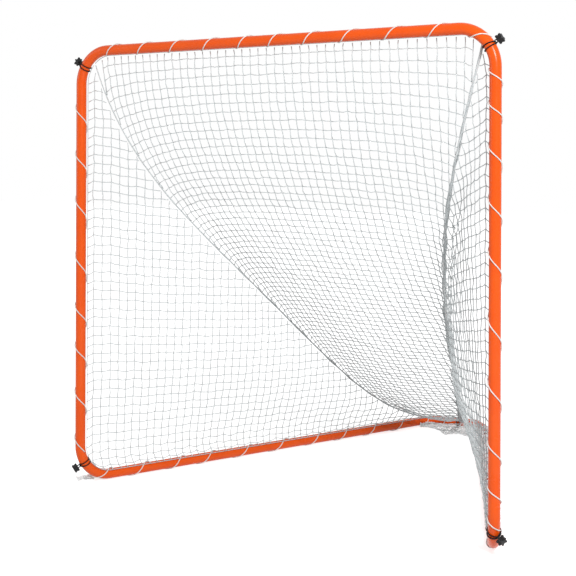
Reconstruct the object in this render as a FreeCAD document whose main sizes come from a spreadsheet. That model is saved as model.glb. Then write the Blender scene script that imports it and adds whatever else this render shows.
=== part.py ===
import FreeCAD, Part
import math
import os
import re
import Sketcher
from FreeCAD import Placement, Rotation, Vector

# A backyard lacrosse goal: a square mouth of round steel tube, two base bars that run back
# from the posts and meet in a rounded rear corner, and a white net that hangs from all of
# them. The frame comes apart in nine tubes, each joint held by a spring button.
#
# Frame of the model: the origin is on the ground, midway between the posts' axes.
# +Z is up, +X is to the right for a player who faces the mouth, and +Y runs back from it.

doc = FreeCAD.newDocument("lacrosse_goal")
sizes = doc.addObject("Spreadsheet::Sheet", "Sizes")

DRIVING_SIZES = (
    ("opening_width", 1829, "clear width between the posts, 6 ft"),
    ("opening_height", 1829, "clear height under the crossbar, 6 ft"),
    ("base_meeting_depth", 2250, "where the two base bars' axes would cross, behind the goal line"),
    ("tube_diameter", 43, "outside of every frame tube"),
    ("tube_wall", 1.5, "steel of every frame tube"),
    ("top_bend_radius", 140, "axis of the two bends beside the crossbar"),
    ("foot_bend_radius", 140, "axis of the two bends under the posts"),
    ("rear_bend_radius", 207, "axis of the rear corner"),
    ("crossbar_joint_offset", 46, "crossbar joint, left of the middle"),
    ("upper_joint_height", 1577, "upper post joints above the ground"),
    ("lower_joint_height", 864, "lower post joints above the ground"),
    ("base_joint_distance", 904, "front base joints from the post's axis, along the bar"),
    ("rear_stub_length", 24, "straight tube at each end of the rear bend"),
    ("swage_length", 60, "narrowed end that slides into the next tube"),
    ("swage_gap", 0.1, "between a narrowed end and the tube round it"),
    ("shoulder_length", 8, "step from the full tube to its narrowed end"),
    ("button_inset", 30, "spring button from the joint line"),
    ("button_diameter", 6.3, "pin of the spring button"),
    ("button_rise", 3, "pin above the tube when it is locked"),
    ("button_gap", 0.1, "round the pin in its holes"),
    ("button_foot_diameter", 9, "flange that keeps the pin in the tube"),
    ("button_foot_height", 1, "thickness of that flange"),
    ("leaf_width", 8, "leaf spring across the tube"),
    ("leaf_thickness", 0.8, "leaf spring strip"),
    ("leaf_length", 46, "leaf spring along the tube"),
    ("lacing_diameter", 4.5, "cord that laces the net to the tubes"),
    ("lacing_gap", 0.4, "between the cord and the tube"),
    ("ground_flat", 0.5, "how deep the cord is flattened where the goal stands on it"),
    ("left_lacing_height", 181, "lowest lacing crossing on the left post"),
    ("right_lacing_height", 128, "lowest lacing crossing on the right post"),
    ("lacing_end_gap", 120, "last crossing of the left post, short of the top bend"),
    ("bar_lacing_gap", 28, "first crossing after a bend, past its end"),
    ("bar_lacing_overrun", 88, "last crossbar crossing, into the right bend"),
    ("base_lacing_gap", 38, "first crossing on a base bar, short of the foot bend's end"),
    ("rear_lacing_gap", 128, "last crossing on a base bar, short of the rear bend"),
    ("rear_lacing_start", 60, "first crossing on the rear bend, past its start"),
    ("rear_lacing_reach", 165, "last crossing on each half of the rear bend, past its start"),
    ("tie_diameter", 4.5, "elastic cord of the corner ties"),
    ("tie_bend_angle", 32, "corner ties round a bend, from the post's end of it, in degrees"),
    ("tie_spread", 9, "elastic strands from the middle of the tie, on the far side"),
    ("tie_hole_offset", 5.2, "elastic strands from the middle of the toggle"),
    ("tie_root_radius", 5, "small bend where a strand leaves the tube for the toggle"),
    ("toggle_lift", 7, "star toggle's near face above the tube"),
    ("toggle_diameter", 37, "star toggle over its points"),
    ("toggle_thickness", 22, "star toggle along its axis"),
    ("toggle_hub_diameter", 21, "core of the star"),
    ("toggle_point_width", 8.5, "each point of the star"),
    ("toggle_waist_depth", 3, "groove round the star that the elastic hooks into"),
    ("toggle_waist_width", 7, "width of that groove"),
    ("toggle_hole_depth", 15, "blind holes that hold the elastic's ends"),
    ("toggle_hole_gap", 0.3, "round the elastic in those holes"),
    ("net_thickness", 4, "two twines where they cross"),
    ("net_pitch", 180, "strands of the net, many times its real 40 mm mesh"),
    ("net_strand_width", 8, "strands of the net and its edges, in place of 3 mm twine"),
    ("net_edge_gap", 2, "between the net's edge and what it is sewn or laced to"),
    ("seam_diameter", 11, "gathered seam where a side net meets the back net"),
    ("ridge_sag", 264, "how far each seam hangs below a straight line"),
    ("ridge_draw_in", 120, "how far each seam is drawn towards the middle, at most"),
    ("back_net_belly", 60, "how far the back net hangs in below its seams"),
    ("side_net_belly", 45, "how far each side net hangs in"),
)

for row, (alias, millimetres, meaning) in enumerate(DRIVING_SIZES, start=1):
    sizes.set(f"A{row}", meaning)
    sizes.set(f"B{row}", str(millimetres))
    sizes.setAlias(f"B{row}", alias)
doc.recompute()

ALIAS = re.compile(r"\b(" + "|".join(entry[0] for entry in DRIVING_SIZES) + r")\b")


def bound(words):
    """The expression with each of the sheet's names written as the document wants it."""
    return ALIAS.sub(r"Sizes.\1", words)


def size(words):
    """The value of an expression written with the sheet's names."""
    return float(sizes.evalExpression(words))


# Sizes that follow from the driving ones, as expressions.
TUBE_R = "(tube_diameter / 2)"
BORE_R = f"({TUBE_R} - tube_wall)"
SWAGE_R = f"({BORE_R} - swage_gap)"
SWAGE_BORE_R = f"({SWAGE_R} - tube_wall)"
POST_X = f"(opening_width / 2 + {TUBE_R})"
BAR_Z = f"(opening_height + {TUBE_R})"
BASE_Z = f"({TUBE_R} + lacing_gap + lacing_diameter - ground_flat)"
BASE_ANGLE = f"atan({POST_X} / base_meeting_depth)"
BASE_LENGTH = f"sqrt({POST_X} ^ 2 + base_meeting_depth ^ 2)"
REAR_TANGENT = f"({BASE_LENGTH} - rear_bend_radius / tan({BASE_ANGLE}))"
REAR_JOINT = f"({REAR_TANGENT} - rear_stub_length)"
REAR_CENTRE_Y = f"(base_meeting_depth - rear_bend_radius / sin({BASE_ANGLE}))"
BUTTON_TIP = f"({TUBE_R} + button_rise)"
FOOT_TOP = f"(sqrt({SWAGE_BORE_R} ^ 2 - (button_foot_diameter / 2) ^ 2) - button_gap)"
FOOT_BOTTOM = f"({FOOT_TOP} - button_foot_height)"
LEAF_FLOOR = f"(-sqrt({SWAGE_BORE_R} ^ 2 - (leaf_width / 2) ^ 2) + button_gap)"
TOGGLE_BASE = f"({TUBE_R} + lacing_gap + tie_diameter + toggle_lift)"

LEFT = -1
RIGHT = 1
SIDES = ((LEFT, "left"), (RIGHT, "right"))


def origin_plane(body, role):
    """The body's own plane of that role."""
    return next(item for item in body.Origin.OriginFeatures if item.Role == role)


def new_body(label):
    """An empty body, under the name of the node that it becomes."""
    body = doc.addObject("PartDesign::Body", label)
    body.Label = label
    return body


def new_sketch(body, name, role, height="0"):
    """A sketch on one of the body's planes, lifted off it by an expression."""
    sketch = body.newObject("Sketcher::SketchObject", name)
    sketch.AttachmentSupport = [(origin_plane(body, role), "")]
    sketch.MapMode = "FlatFace"
    if height != "0":
        sketch.setExpression("AttachmentOffset.Base.z", bound(height))
    return sketch


def name_last(sketch, words):
    """Bind the sketch's newest constraint to an expression."""
    sketch.setExpression(f"Constraints[{sketch.ConstraintCount - 1}]", bound(words))


def hold_point(sketch, line, end, across, up):
    """Hold a point of the sketch at two expressions, measured from its origin."""
    for kind, axis, words in (("DistanceX", -2, across), ("DistanceY", -1, up)):
        value = size(words)
        if words == "0":
            sketch.addConstraint(Sketcher.Constraint("PointOnObject", line, end, axis))
        elif value > 0:
            sketch.addConstraint(Sketcher.Constraint(kind, -1, 1, line, end, value))
            name_last(sketch, words)
        else:
            sketch.addConstraint(Sketcher.Constraint(kind, line, end, -1, 1, -value))
            name_last(sketch, f"-({words})")


def draw_outline(sketch, corners):
    """A closed outline of straight lines through corners given as expressions."""
    points = [Vector(size(across), size(up), 0) for across, up in corners]
    count = len(points)
    for index in range(count):
        sketch.addGeometry(Part.LineSegment(points[index], points[(index + 1) % count]))
    for index in range(count):
        sketch.addConstraint(Sketcher.Constraint("Coincident", index, 2, (index + 1) % count, 1))
        hold_point(sketch, index, 1, *corners[index])


def draw_rings(sketch, *radii):
    """Circles round the sketch's origin, one for each expression."""
    for index, words in enumerate(radii):
        sketch.addGeometry(Part.Circle(Vector(), Vector(0, 0, 1), size(words)))
        sketch.addConstraint(Sketcher.Constraint("Coincident", index, 3, -1, 1))
        sketch.addConstraint(Sketcher.Constraint("Radius", index, size(words)))
        name_last(sketch, words)


def turned(body, name, sketch, axis):
    """A full turn of the sketch about one of its axes."""
    turn = body.newObject("PartDesign::Revolution", name)
    turn.Profile = sketch
    turn.ReferenceAxis = (sketch, [axis])
    turn.Angle = 360
    sketch.Visibility = False
    return turn


def cylinder(body, name, start, direction, radius, length, kind="PartDesign::SubtractiveCylinder"):
    """A cylinder, cut out unless its kind says otherwise, from a point along a direction.

    The point is given as three expressions.
    """
    feature = body.newObject(kind, name)
    feature.setExpression("Radius", bound(radius))
    feature.setExpression("Height", bound(length))
    feature.Placement = Placement(Vector(*map(size, start)), Rotation(Vector(0, 0, 1), direction))
    for axis, words in zip("xyz", start):
        if words != "0":
            feature.setExpression(f"Placement.Base.{axis}", bound(words))


BUTTON_HOLE_R = "(button_diameter / 2 + button_gap)"
HOLE_DEPTH = f"({TUBE_R} + button_rise)"


# Straight tubes: posts and base bars, with a narrowed end at each joint.


def straight_tube(label, start, end, button_side, socket=False):
    """A tube along the body's own X from start to end, narrowed beyond its ends.

    The outline is the tube's wall in section: narrowed end, shoulder, full tube. A socket
    is a far end that stays wide and takes the next tube's narrowed end.
    """
    body = new_body(label)
    wall = new_sketch(body, f"{label}_wall", "XZ_Plane")
    tip = f"({end} + swage_length)"
    root = f"({start} - swage_length)"
    near_end = [(root, SWAGE_BORE_R), (root, SWAGE_R), (start, SWAGE_R), (start, TUBE_R), (end, TUBE_R)]
    narrow_end = [
        (end, SWAGE_R),
        (tip, SWAGE_R),
        (tip, SWAGE_BORE_R),
        (f"({end} - shoulder_length)", SWAGE_BORE_R),
        (f"({end} - 2 * shoulder_length)", BORE_R),
    ]
    near_bore = [
        (f"({start} + 2 * shoulder_length)", BORE_R),
        (f"({start} + shoulder_length)", SWAGE_BORE_R),
    ]
    far_end = [(end, BORE_R)] if socket else narrow_end
    draw_outline(wall, near_end + far_end + near_bore)
    turned(body, f"{label}_tube", wall, "H_Axis")
    cylinder(
        body, f"{label}_first_hole", (f"{start} - button_inset", "0", "0"),
        button_side, BUTTON_HOLE_R, HOLE_DEPTH,
    )
    cylinder(
        body, f"{label}_second_hole", (f"{end} {'-' if socket else '+'} button_inset", "0", "0"),
        button_side, BUTTON_HOLE_R, HOLE_DEPTH,
    )
    return body


def place_body(body, base, axis, angle):
    """Stand a body at three expressions, turned about a fixed axis by one more."""
    body.Placement = Placement(Vector(*map(size, base)), Rotation(axis, size(angle)))
    for letter, words in zip("xyz", base):
        if words != "0":
            body.setExpression(f"Placement.Base.{letter}", bound(words))
    body.setExpression("Placement.Rotation.Angle", bound(angle))


for side, word in SIDES:
    post = straight_tube(f"post_{word}", "lower_joint_height", "upper_joint_height", Vector(0, 1, 0))
    place_body(post, (f"{side} * {POST_X}", "0", "0"), Vector(0, -1, 0), "90")
    bar = straight_tube(
        f"base_side_{word}", "base_joint_distance", REAR_JOINT, Vector(0, -side, 0), socket=True,
    )
    leg_angle = f"90 deg + {side} * {BASE_ANGLE}"
    place_body(bar, (f"{side} * {POST_X}", "0", BASE_Z), Vector(0, 0, 1), leg_angle)


# Bent tubes: the top corners, the feet and the rear corner.


def bent_tube(body, start_height, bend_radius, end_across, end_height):
    """A tube that rises along Z, turns through a quarter bend and runs out along X."""
    label = body.Label
    path = new_sketch(body, f"{label}_path", "XZ_Plane")
    low, high = size(start_height), size(end_height)
    radius, across = size(bend_radius), size(end_across)
    turn = 1 if high > low else -1
    shoulder = high - turn * radius
    path.addGeometry(Part.LineSegment(Vector(0, low, 0), Vector(0, shoulder, 0)))
    middle = Vector(radius - radius * math.sqrt(0.5), shoulder + turn * radius * math.sqrt(0.5), 0)
    path.addGeometry(Part.Arc(Vector(0, shoulder, 0), middle, Vector(radius, high, 0)))
    path.addGeometry(Part.LineSegment(Vector(radius, high, 0), Vector(across, high, 0)))
    arc_start, arc_end = (2, 1) if turn > 0 else (1, 2)
    hold_point(path, 0, 1, "0", start_height)
    path.addConstraint(Sketcher.Constraint("Vertical", 0))
    path.addConstraint(Sketcher.Constraint("Tangent", 0, 2, 1, arc_start))
    path.addConstraint(Sketcher.Constraint("Tangent", 1, arc_end, 2, 1))
    path.addConstraint(Sketcher.Constraint("Horizontal", 2))
    path.addConstraint(Sketcher.Constraint("Radius", 1, radius))
    name_last(path, bend_radius)
    hold_point(path, 2, 2, end_across, end_height)
    ring = new_sketch(body, f"{label}_ring", "XY_Plane", start_height)
    draw_rings(ring, TUBE_R, BORE_R)
    doc.recompute()
    tube = body.newObject("PartDesign::AdditivePipe", f"{label}_tube")
    tube.Profile = ring
    tube.Spine = (path, ["Edge1", "Edge2", "Edge3"])
    for sketch in (path, ring):
        sketch.Visibility = False
    return tube


def swaged_end(body, joint_across, height):
    """A narrowed end on a tube that runs along the body's X at a height."""
    label = body.Label
    wall = new_sketch(body, f"{label}_swage", "XZ_Plane")
    tip = f"({joint_across} + swage_length)"
    root = f"({joint_across} - shoulder_length)"
    draw_outline(
        wall,
        (
            (root, f"{height} + {TUBE_R}"),
            (joint_across, f"{height} + {TUBE_R}"),
            (joint_across, f"{height} + {SWAGE_R}"),
            (tip, f"{height} + {SWAGE_R}"),
            (tip, f"{height} + {SWAGE_BORE_R}"),
            (root, f"{height} + {SWAGE_BORE_R}"),
        ),
    )
    axis = wall.addGeometry(
        Part.LineSegment(Vector(0, size(height), 0), Vector(size(joint_across), size(height), 0)), True
    )
    hold_point(wall, axis, 1, "0", height)
    hold_point(wall, axis, 2, joint_across, height)
    turned(body, f"{label}_swaged_end", wall, "Axis0")


for side, word in SIDES:
    corner = new_body(f"top_corner_{word}")
    joint_across = f"({POST_X} + {side} * crossbar_joint_offset)"
    bent_tube(corner, "upper_joint_height", "top_bend_radius", joint_across, BAR_Z)
    back = Vector(0, -side, 0)
    cylinder(
        corner, f"{corner.Label}_post_hole", ("0", "0", "upper_joint_height + button_inset"),
        back, BUTTON_HOLE_R, HOLE_DEPTH,
    )
    inset = "+ button_inset" if side == LEFT else "- button_inset"
    if side == LEFT:
        swaged_end(corner, joint_across, BAR_Z)
    cylinder(
        corner, f"{corner.Label}_crossbar_hole", (f"{joint_across} {inset}", "0", BAR_Z),
        Vector(0, 0, 1), BUTTON_HOLE_R, HOLE_DEPTH,
    )
    place_body(corner, (f"{side} * {POST_X}", "0", "0"), Vector(0, 0, 1), f"90 deg + {side} * 90 deg")

for side, word in SIDES:
    foot = new_body(f"foot_corner_{word}")
    bent_tube(foot, "lower_joint_height", "foot_bend_radius", "base_joint_distance", BASE_Z)
    turn_back = math.radians(-side * size(BASE_ANGLE))
    cylinder(
        foot, f"{foot.Label}_post_hole", ("0", "0", "lower_joint_height - button_inset"),
        Vector(math.cos(turn_back), math.sin(turn_back), 0), BUTTON_HOLE_R, HOLE_DEPTH,
    )
    cylinder(
        foot, f"{foot.Label}_base_hole", ("base_joint_distance - button_inset", "0", BASE_Z),
        Vector(0, -side, 0), BUTTON_HOLE_R, HOLE_DEPTH,
    )
    leg_angle = f"90 deg + {side} * {BASE_ANGLE}"
    place_body(foot, (f"{side} * {POST_X}", "0", "0"), Vector(0, 0, 1), leg_angle)


def base_point(side, distance):
    """The point of a base bar's axis at a distance from the post's axis."""
    angle = math.radians(size(BASE_ANGLE))
    x = side * (size(POST_X) - distance * math.sin(angle))
    return Vector(x, distance * math.cos(angle), size(BASE_Z))


def rear_corner():
    """The rear bend, with a short straight tube and then a narrowed end on each side."""
    body = new_body("rear_corner")
    path = new_sketch(body, "rear_path", "XY_Plane")
    radius, centre_y = size("rear_bend_radius"), size(REAR_CENTRE_Y)
    joint = base_point(RIGHT, size(REAR_JOINT))
    tangent = base_point(RIGHT, size(REAR_TANGENT))
    right_end, right_tangent = Vector(joint.x, joint.y, 0), Vector(tangent.x, tangent.y, 0)
    left_end, left_tangent = Vector(-joint.x, joint.y, 0), Vector(-tangent.x, tangent.y, 0)
    path.addGeometry(Part.LineSegment(right_end, right_tangent))
    path.addGeometry(Part.Arc(right_tangent, Vector(0, centre_y + radius, 0), left_tangent))
    path.addGeometry(Part.LineSegment(left_tangent, left_end))
    hold_point(path, 1, 3, "0", REAR_CENTRE_Y)
    path.addConstraint(Sketcher.Constraint("Tangent", 0, 2, 1, 1))
    path.addConstraint(Sketcher.Constraint("Tangent", 1, 2, 2, 1))
    end_x, end_y = f"({POST_X} - {REAR_JOINT} * sin({BASE_ANGLE}))", f"({REAR_JOINT} * cos({BASE_ANGLE}))"
    hold_point(path, 0, 1, end_x, end_y)
    hold_point(path, 2, 2, f"(-{end_x})", end_y)
    doc.recompute()
    ring = body.newObject("Sketcher::SketchObject", "rear_ring")
    ring.AttachmentSupport = [(path, "Edge1")]
    ring.MapMode = "NormalToEdge"
    draw_rings(ring, TUBE_R, BORE_R)
    doc.recompute()
    tube = body.newObject("PartDesign::AdditivePipe", "rear_tube")
    tube.Profile = ring
    tube.Spine = (path, ["Edge1", "Edge2", "Edge3"])
    for sketch in (path, ring):
        sketch.Visibility = False
    angle = math.radians(size(BASE_ANGLE))
    swage_tip = f"({REAR_JOINT} - swage_length)"
    hole_at = f"({REAR_JOINT} - button_inset)"
    solid, hollow = "PartDesign::AdditiveCylinder", "PartDesign::SubtractiveCylinder"
    for side, word in SIDES:
        back = Vector(-side * math.sin(angle), math.cos(angle), 0)
        outwards = Vector(side * math.cos(angle), math.sin(angle), 0)
        for name, kind, begin, way, radius, length in (
            ("swage", solid, swage_tip, back, SWAGE_R, "swage_length"),
            ("shoulder", solid, REAR_JOINT, back, TUBE_R, "shoulder_length"),
            ("bore", hollow, swage_tip, back, SWAGE_BORE_R, "swage_length + shoulder_length"),
            ("hole", hollow, hole_at, outwards, BUTTON_HOLE_R, HOLE_DEPTH),
        ):
            across = f"({side} * ({POST_X} - {begin} * sin({BASE_ANGLE})))"
            start = (across, f"({begin} * cos({BASE_ANGLE}))", "0")
            cylinder(body, f"rear_{name}_{word}", start, way, radius, length, kind)
    place_body(body, ("0", "0", BASE_Z), Vector(0, 0, 1), "0")


rear_corner()


# Spring buttons: a pin that stands out through both walls, and the bent leaf behind it.


def spring_button(label):
    """A pin with a flange at its foot, turned about the body's Z, which points outwards."""
    body = new_body(label)
    section = new_sketch(body, f"{label}_section", "XZ_Plane")
    pin, foot = "(button_diameter / 2)", "(button_foot_diameter / 2)"
    draw_outline(
        section,
        (
            ("0", FOOT_BOTTOM),
            (foot, FOOT_BOTTOM),
            (foot, FOOT_TOP),
            (pin, FOOT_TOP),
            (pin, f"({BUTTON_TIP} - button_diameter / 4)"),
            (f"({pin} * 0.6)", BUTTON_TIP),
            ("0", BUTTON_TIP),
        ),
    )
    turned(body, f"{label}_pin", section, "V_Axis")
    return body


def leaf_spring(label):
    """A strip bent into a V on its side: one arm under the pin, one along the far wall."""
    body = new_body(label)
    section = new_sketch(body, f"{label}_section", "XZ_Plane")
    start = "(-button_foot_diameter / 2)"
    end = "(leaf_length - button_foot_diameter / 2)"
    under_pin = f"({FOOT_BOTTOM} - button_gap)"
    fold = f"({LEAF_FLOOR} + 3 * leaf_thickness)"
    draw_outline(
        section,
        (
            (start, LEAF_FLOOR),
            (end, LEAF_FLOOR),
            (end, f"({fold} + leaf_thickness)"),
            ("(button_foot_diameter / 2)", under_pin),
            (start, under_pin),
            (start, f"({under_pin} - leaf_thickness)"),
            ("(button_foot_diameter / 2 - leaf_thickness)", f"({under_pin} - leaf_thickness)"),
            (f"({end} - leaf_thickness)", fold),
            (f"({end} - leaf_thickness)", f"({LEAF_FLOOR} + leaf_thickness)"),
            (start, f"({LEAF_FLOOR} + leaf_thickness)"),
        ),
    )
    strip = body.newObject("PartDesign::Pad", f"{label}_strip")
    strip.Profile = section
    strip.Midplane = True
    strip.setExpression("Length", bound("leaf_width"))
    section.Visibility = False
    return body


def joint_places():
    """Each joint's name, its button's point on the tube's axis, the way the button points
    and the way from the button to the joint line, along the tube."""
    up, back = Vector(0, 0, 1), Vector(0, 1, 0)
    inset = size("button_inset")
    places = [
        ("crossbar", Vector(inset - size("crossbar_joint_offset"), 0, size(BAR_Z)), up, Vector(-1, 0, 0)),
    ]
    for side, word in SIDES:
        x = side * size(POST_X)
        angle = math.radians(size(BASE_ANGLE))
        leg = Vector(-side * math.sin(angle), math.cos(angle), 0)
        outwards = Vector(side * math.cos(angle), math.sin(angle), 0)
        upper = Vector(x, 0, size("upper_joint_height") + inset)
        lower = Vector(x, 0, size("lower_joint_height") - inset)
        front = base_point(side, size("base_joint_distance") - inset)
        rear = base_point(side, size(REAR_JOINT) - inset)
        places.append((f"upper_post_{word}", upper, back, up * -1))
        places.append((f"lower_post_{word}", lower, back, up))
        places.append((f"base_{word}", front, outwards, leg))
        places.append((f"rear_{word}", rear, outwards, leg))
    return places


for place, point, outwards, along in joint_places():
    turn = Rotation(along, outwards.cross(along), outwards, "XZY")
    for piece in (spring_button(f"button_{place}"), leaf_spring(f"button_spring_{place}")):
        piece.Placement = Placement(point, turn)


# Routes along the tubes' axes, which the lacing and the ties wind round.


RISE = size(f"{BAR_Z} - top_bend_radius")
SPAN = size(f"2 * ({POST_X} - top_bend_radius)")
TOP_BEND = size("top_bend_radius") * math.pi / 2
MOUTH_LENGTH = 2 * RISE + 2 * TOP_BEND + SPAN


class Route:
    """A path of straight runs and bends, with an outer side that turns along with it."""

    def __init__(self, start, heading, outer):
        self.pieces = []
        self.state = (Vector(start), Vector(heading), Vector(outer))
        self.length = 0.0

    def run(self, length):
        """Add a straight run."""
        self.pieces.append((self.length, None, self.state))
        start, heading, outer = self.state
        self.state = (start + heading * length, heading, outer)
        self.length += length
        return self

    def bend(self, radius, degrees, away=None):
        """Add a bend through that angle, away from a side, or else from the outer side."""
        length = radius * math.radians(degrees)
        turn = (radius, away or self.state[2])
        self.pieces.append((self.length, turn, self.state))
        self.state = self.turned_state(self.state, turn, length)
        self.length += length
        return self

    @staticmethod
    def turned_state(state, turn, distance):
        """Point, heading and outer side at a distance along a bend."""
        start, heading, outer = state
        radius, away = turn
        rotation = Rotation(away.cross(heading), math.degrees(distance / radius))
        centre = start - away * radius
        return centre + rotation.multVec(away) * radius, rotation.multVec(heading), rotation.multVec(outer)

    def at(self, distance):
        """Point, heading and outer side at a distance from the start."""
        begin, turn, state = next(
            (piece for piece in reversed(self.pieces) if distance >= piece[0]), self.pieces[0]
        )
        if turn is None:
            return state[0] + state[1] * (distance - begin), state[1], state[2]
        return self.turned_state(state, turn, distance - begin)

    def wound(self, distance, angle, radius, shift=0.0):
        """A point beside the path: round it by an angle, counted from its outer side."""
        point, heading, outer = self.at(distance + shift)
        across = heading.cross(outer)
        return point + outer * (radius * math.cos(angle)) + across * (radius * math.sin(angle))


def mouth_route():
    """Up the left post, along the crossbar, down the right post and round its foot."""
    angle = math.radians(size(BASE_ANGLE))
    front = Vector(math.sin(angle), -math.cos(angle), 0)
    foot = size(f"{BASE_Z} + foot_bend_radius")
    route = Route(Vector(-size(POST_X), 0, 0), Vector(0, 0, 1), Vector(-1, 0, 0))
    route.run(RISE).bend(size("top_bend_radius"), 90)
    route.run(SPAN).bend(size("top_bend_radius"), 90)
    return route.run(RISE - foot).bend(size("foot_bend_radius"), 90, front)


def base_route(side):
    """Down the last of a post, round its foot and back along the base bar."""
    angle = math.radians(size(BASE_ANGLE))
    leg = Vector(-side * math.sin(angle), math.cos(angle), 0)
    drop = size(f"lower_joint_height - {BASE_Z} - foot_bend_radius")
    start = Vector(side * size(POST_X), 0, size("lower_joint_height"))
    route = Route(start, Vector(0, 0, -1), leg * -1)
    route.run(drop).bend(size("foot_bend_radius"), 90)
    return route.run(size(f"{REAR_TANGENT} - foot_bend_radius"))


def rear_route():
    """Along the end of the left base bar, round the rear corner and on to the right one."""
    angle = math.radians(size(BASE_ANGLE))
    heading = Vector(math.sin(angle), math.cos(angle), 0)
    outer = Vector(-math.cos(angle), math.sin(angle), 0)
    stub = size("rear_stub_length")
    route = Route(base_point(LEFT, size(REAR_JOINT)), heading, outer)
    route.run(stub).bend(size("rear_bend_radius"), 180 - 2 * size(BASE_ANGLE))
    return route.run(stub)


MOUTH = mouth_route()
BASES = {side: base_route(side) for side, _ in SIDES}
REAR = rear_route()


# Cords: a curve through points is made of pairs of arcs that share their tangents.


def arc_pair(start, start_way, end, end_way):
    """Two arcs that leave the start and meet the end along the given ways."""
    across = end - start
    both = start_way + end_way
    spread = 2 * (1 - start_way.dot(end_way))
    along = across.dot(both)
    if spread < 1e-9:
        reach = across.dot(across) / (2 * along)
    else:
        reach = (math.sqrt(along * along + spread * across.dot(across)) - along) / spread
    middle = (start + start_way * reach + end - end_way * reach) * 0.5
    return [arc(start, start_way, middle), arc(end, end_way * -1, middle)]


def arc(start, way, end):
    """An arc, or a line where it would be flat, that leaves the start along a way."""
    chord = end - start
    length = chord.Length
    unit = chord * (1 / length)
    aside = way - unit * way.dot(unit)
    if aside.Length < 1e-5:
        return Part.makeLine(start, end)
    half_angle = math.atan2(aside.Length, way.dot(unit))
    rise = math.tan(half_angle / 2) * length / 2
    middle = start + chord * 0.5 + aside.normalize() * rise
    return Part.Arc(start, middle, end).toShape()


def curve_edges(points, ways):
    """Edges of arc pairs through the points, along the ways."""
    edges = []
    for index in range(len(points) - 1):
        edges += arc_pair(points[index], ways[index], points[index + 1], ways[index + 1])
    return edges


def tube_along(edges, start, way, diameter):
    """A round solid along one unbroken run of edges."""
    spine = Part.Wire(Part.__sortEdges__(edges))
    rim = Part.Wire(Part.Circle(start, way, diameter / 2).toShape())
    sweep = Part.BRepOffsetAPI.MakePipeShell(spine)
    sweep.add(rim)
    sweep.build()
    sweep.makeSolid()
    solid = sweep.shape()
    expected = math.pi * diameter ** 2 / 4 * spine.Length
    if abs(solid.Volume / expected - 1) > 0.01:
        raise RuntimeError("a cord's volume is not its section times its length")
    return solid, spine


def least_gap(spine, diameter):
    """Smallest gap between turns of one cord, measured on points along it."""
    step = diameter / 2
    points = spine.discretize(Distance=step)
    apart = int(2.5 * math.pi * diameter / step)
    least = 1e9
    for index, point in enumerate(points):
        for other in points[index + apart:]:
            least = min(least, point.distanceToPoint(other))
    return least - diameter


def add_solid(label, shape):
    """A node whose shape is worked out here rather than by a feature."""
    feature = doc.addObject("Part::Feature", label)
    feature.Label = label
    feature.Shape = shape
    feature.Placement = Placement()
    return feature


def wound_ways(turn_point, steps):
    """Points and ways along a winding, from a function of a count of steps."""
    nudge = 1e-3
    points = [turn_point(step) for step in range(steps + 1)]
    ways = []
    for step in range(steps + 1):
        way = turn_point(step + nudge) - turn_point(step - nudge)
        ways.append(way.normalize())
    return points, ways


LACING_R = f"({TUBE_R} + lacing_gap + lacing_diameter / 2)"
STEPS_PER_TURN = 8

# Where the lacing crosses the side of the tube that shows, from one end of each laced
# stretch to the other, as shares of it: the cord was pulled through by hand, so the
# crossings are uneven.
POST_LEFT_CROSSINGS = (0, 0.14, 0.28, 0.4, 0.55, 0.72, 0.86, 1)
CROSSBAR_CROSSINGS = (0, 0.1, 0.2, 0.3, 0.4, 0.485, 0.58, 0.68, 0.79, 0.895, 1)
POST_RIGHT_CROSSINGS = (0, 0.075, 0.175, 0.295, 0.415, 0.565, 0.705, 0.835, 0.93, 1)
BASE_CROSSINGS = (0, 0.105, 0.215, 0.31, 0.43, 0.55, 0.675, 0.78, 0.89, 1)
REAR_CROSSINGS = (0, 1)

# How much of the way to its neighbours the cord makes where it crosses the open side.
SLANT_SHARE = 0.4


def lacing(label, route, first, last, shares, front_angle, flat=False):
    """A cord that winds along a route, crossing its open side at the given shares.

    Half of each turn crosses the open side, slanting by a share of the way between the
    crossings next to it. The other half goes behind the tube, over the rest of the way.
    The cord begins and ends at the sides of the tube.
    """
    radius = size(LACING_R)
    crossings = [first + (last - first) * share for share in shares]
    gaps = [after - before for before, after in zip(crossings, crossings[1:])]
    slants = [
        SLANT_SHARE * (before + after) / 2
        for before, after in zip(gaps[:1] + gaps, gaps + gaps[-1:])
    ]

    def along(turns):
        """Distance along the route after a count of turns from the first crossing."""
        last_crossing = len(crossings) - 1
        nearest = min(max(round(turns), 0), last_crossing)
        past = turns - nearest
        if turns < 0 or turns > last_crossing or abs(past) <= 0.25:
            return crossings[nearest] + 2 * slants[nearest] * past
        before = int(turns)
        leave = crossings[before] + slants[before] / 2
        arrive = crossings[before + 1] - slants[before + 1] / 2
        return leave + (arrive - leave) * 2 * (turns - before - 0.25)

    def turn_point(step):
        turns = step / STEPS_PER_TURN - 0.25
        return route.wound(along(turns), front_angle - 2 * math.pi * turns, radius)

    steps = STEPS_PER_TURN * (len(crossings) - 1) + STEPS_PER_TURN // 2
    points, ways = wound_ways(turn_point, steps)
    diameter = size("lacing_diameter")
    edges = curve_edges(points, ways)
    start = points[0] - ways[0] * diameter
    end = points[-1] + ways[-1] * diameter
    edges = [Part.makeLine(start, points[0])] + edges + [Part.makeLine(points[-1], end)]
    solid, spine = tube_along(edges, start, ways[0], diameter)
    if flat:
        solid = above_ground(solid)
    print(f"{label}: least gap {least_gap(spine, diameter):.2f} mm, length {spine.Length:.0f} mm")
    return add_solid(label, solid)


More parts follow.
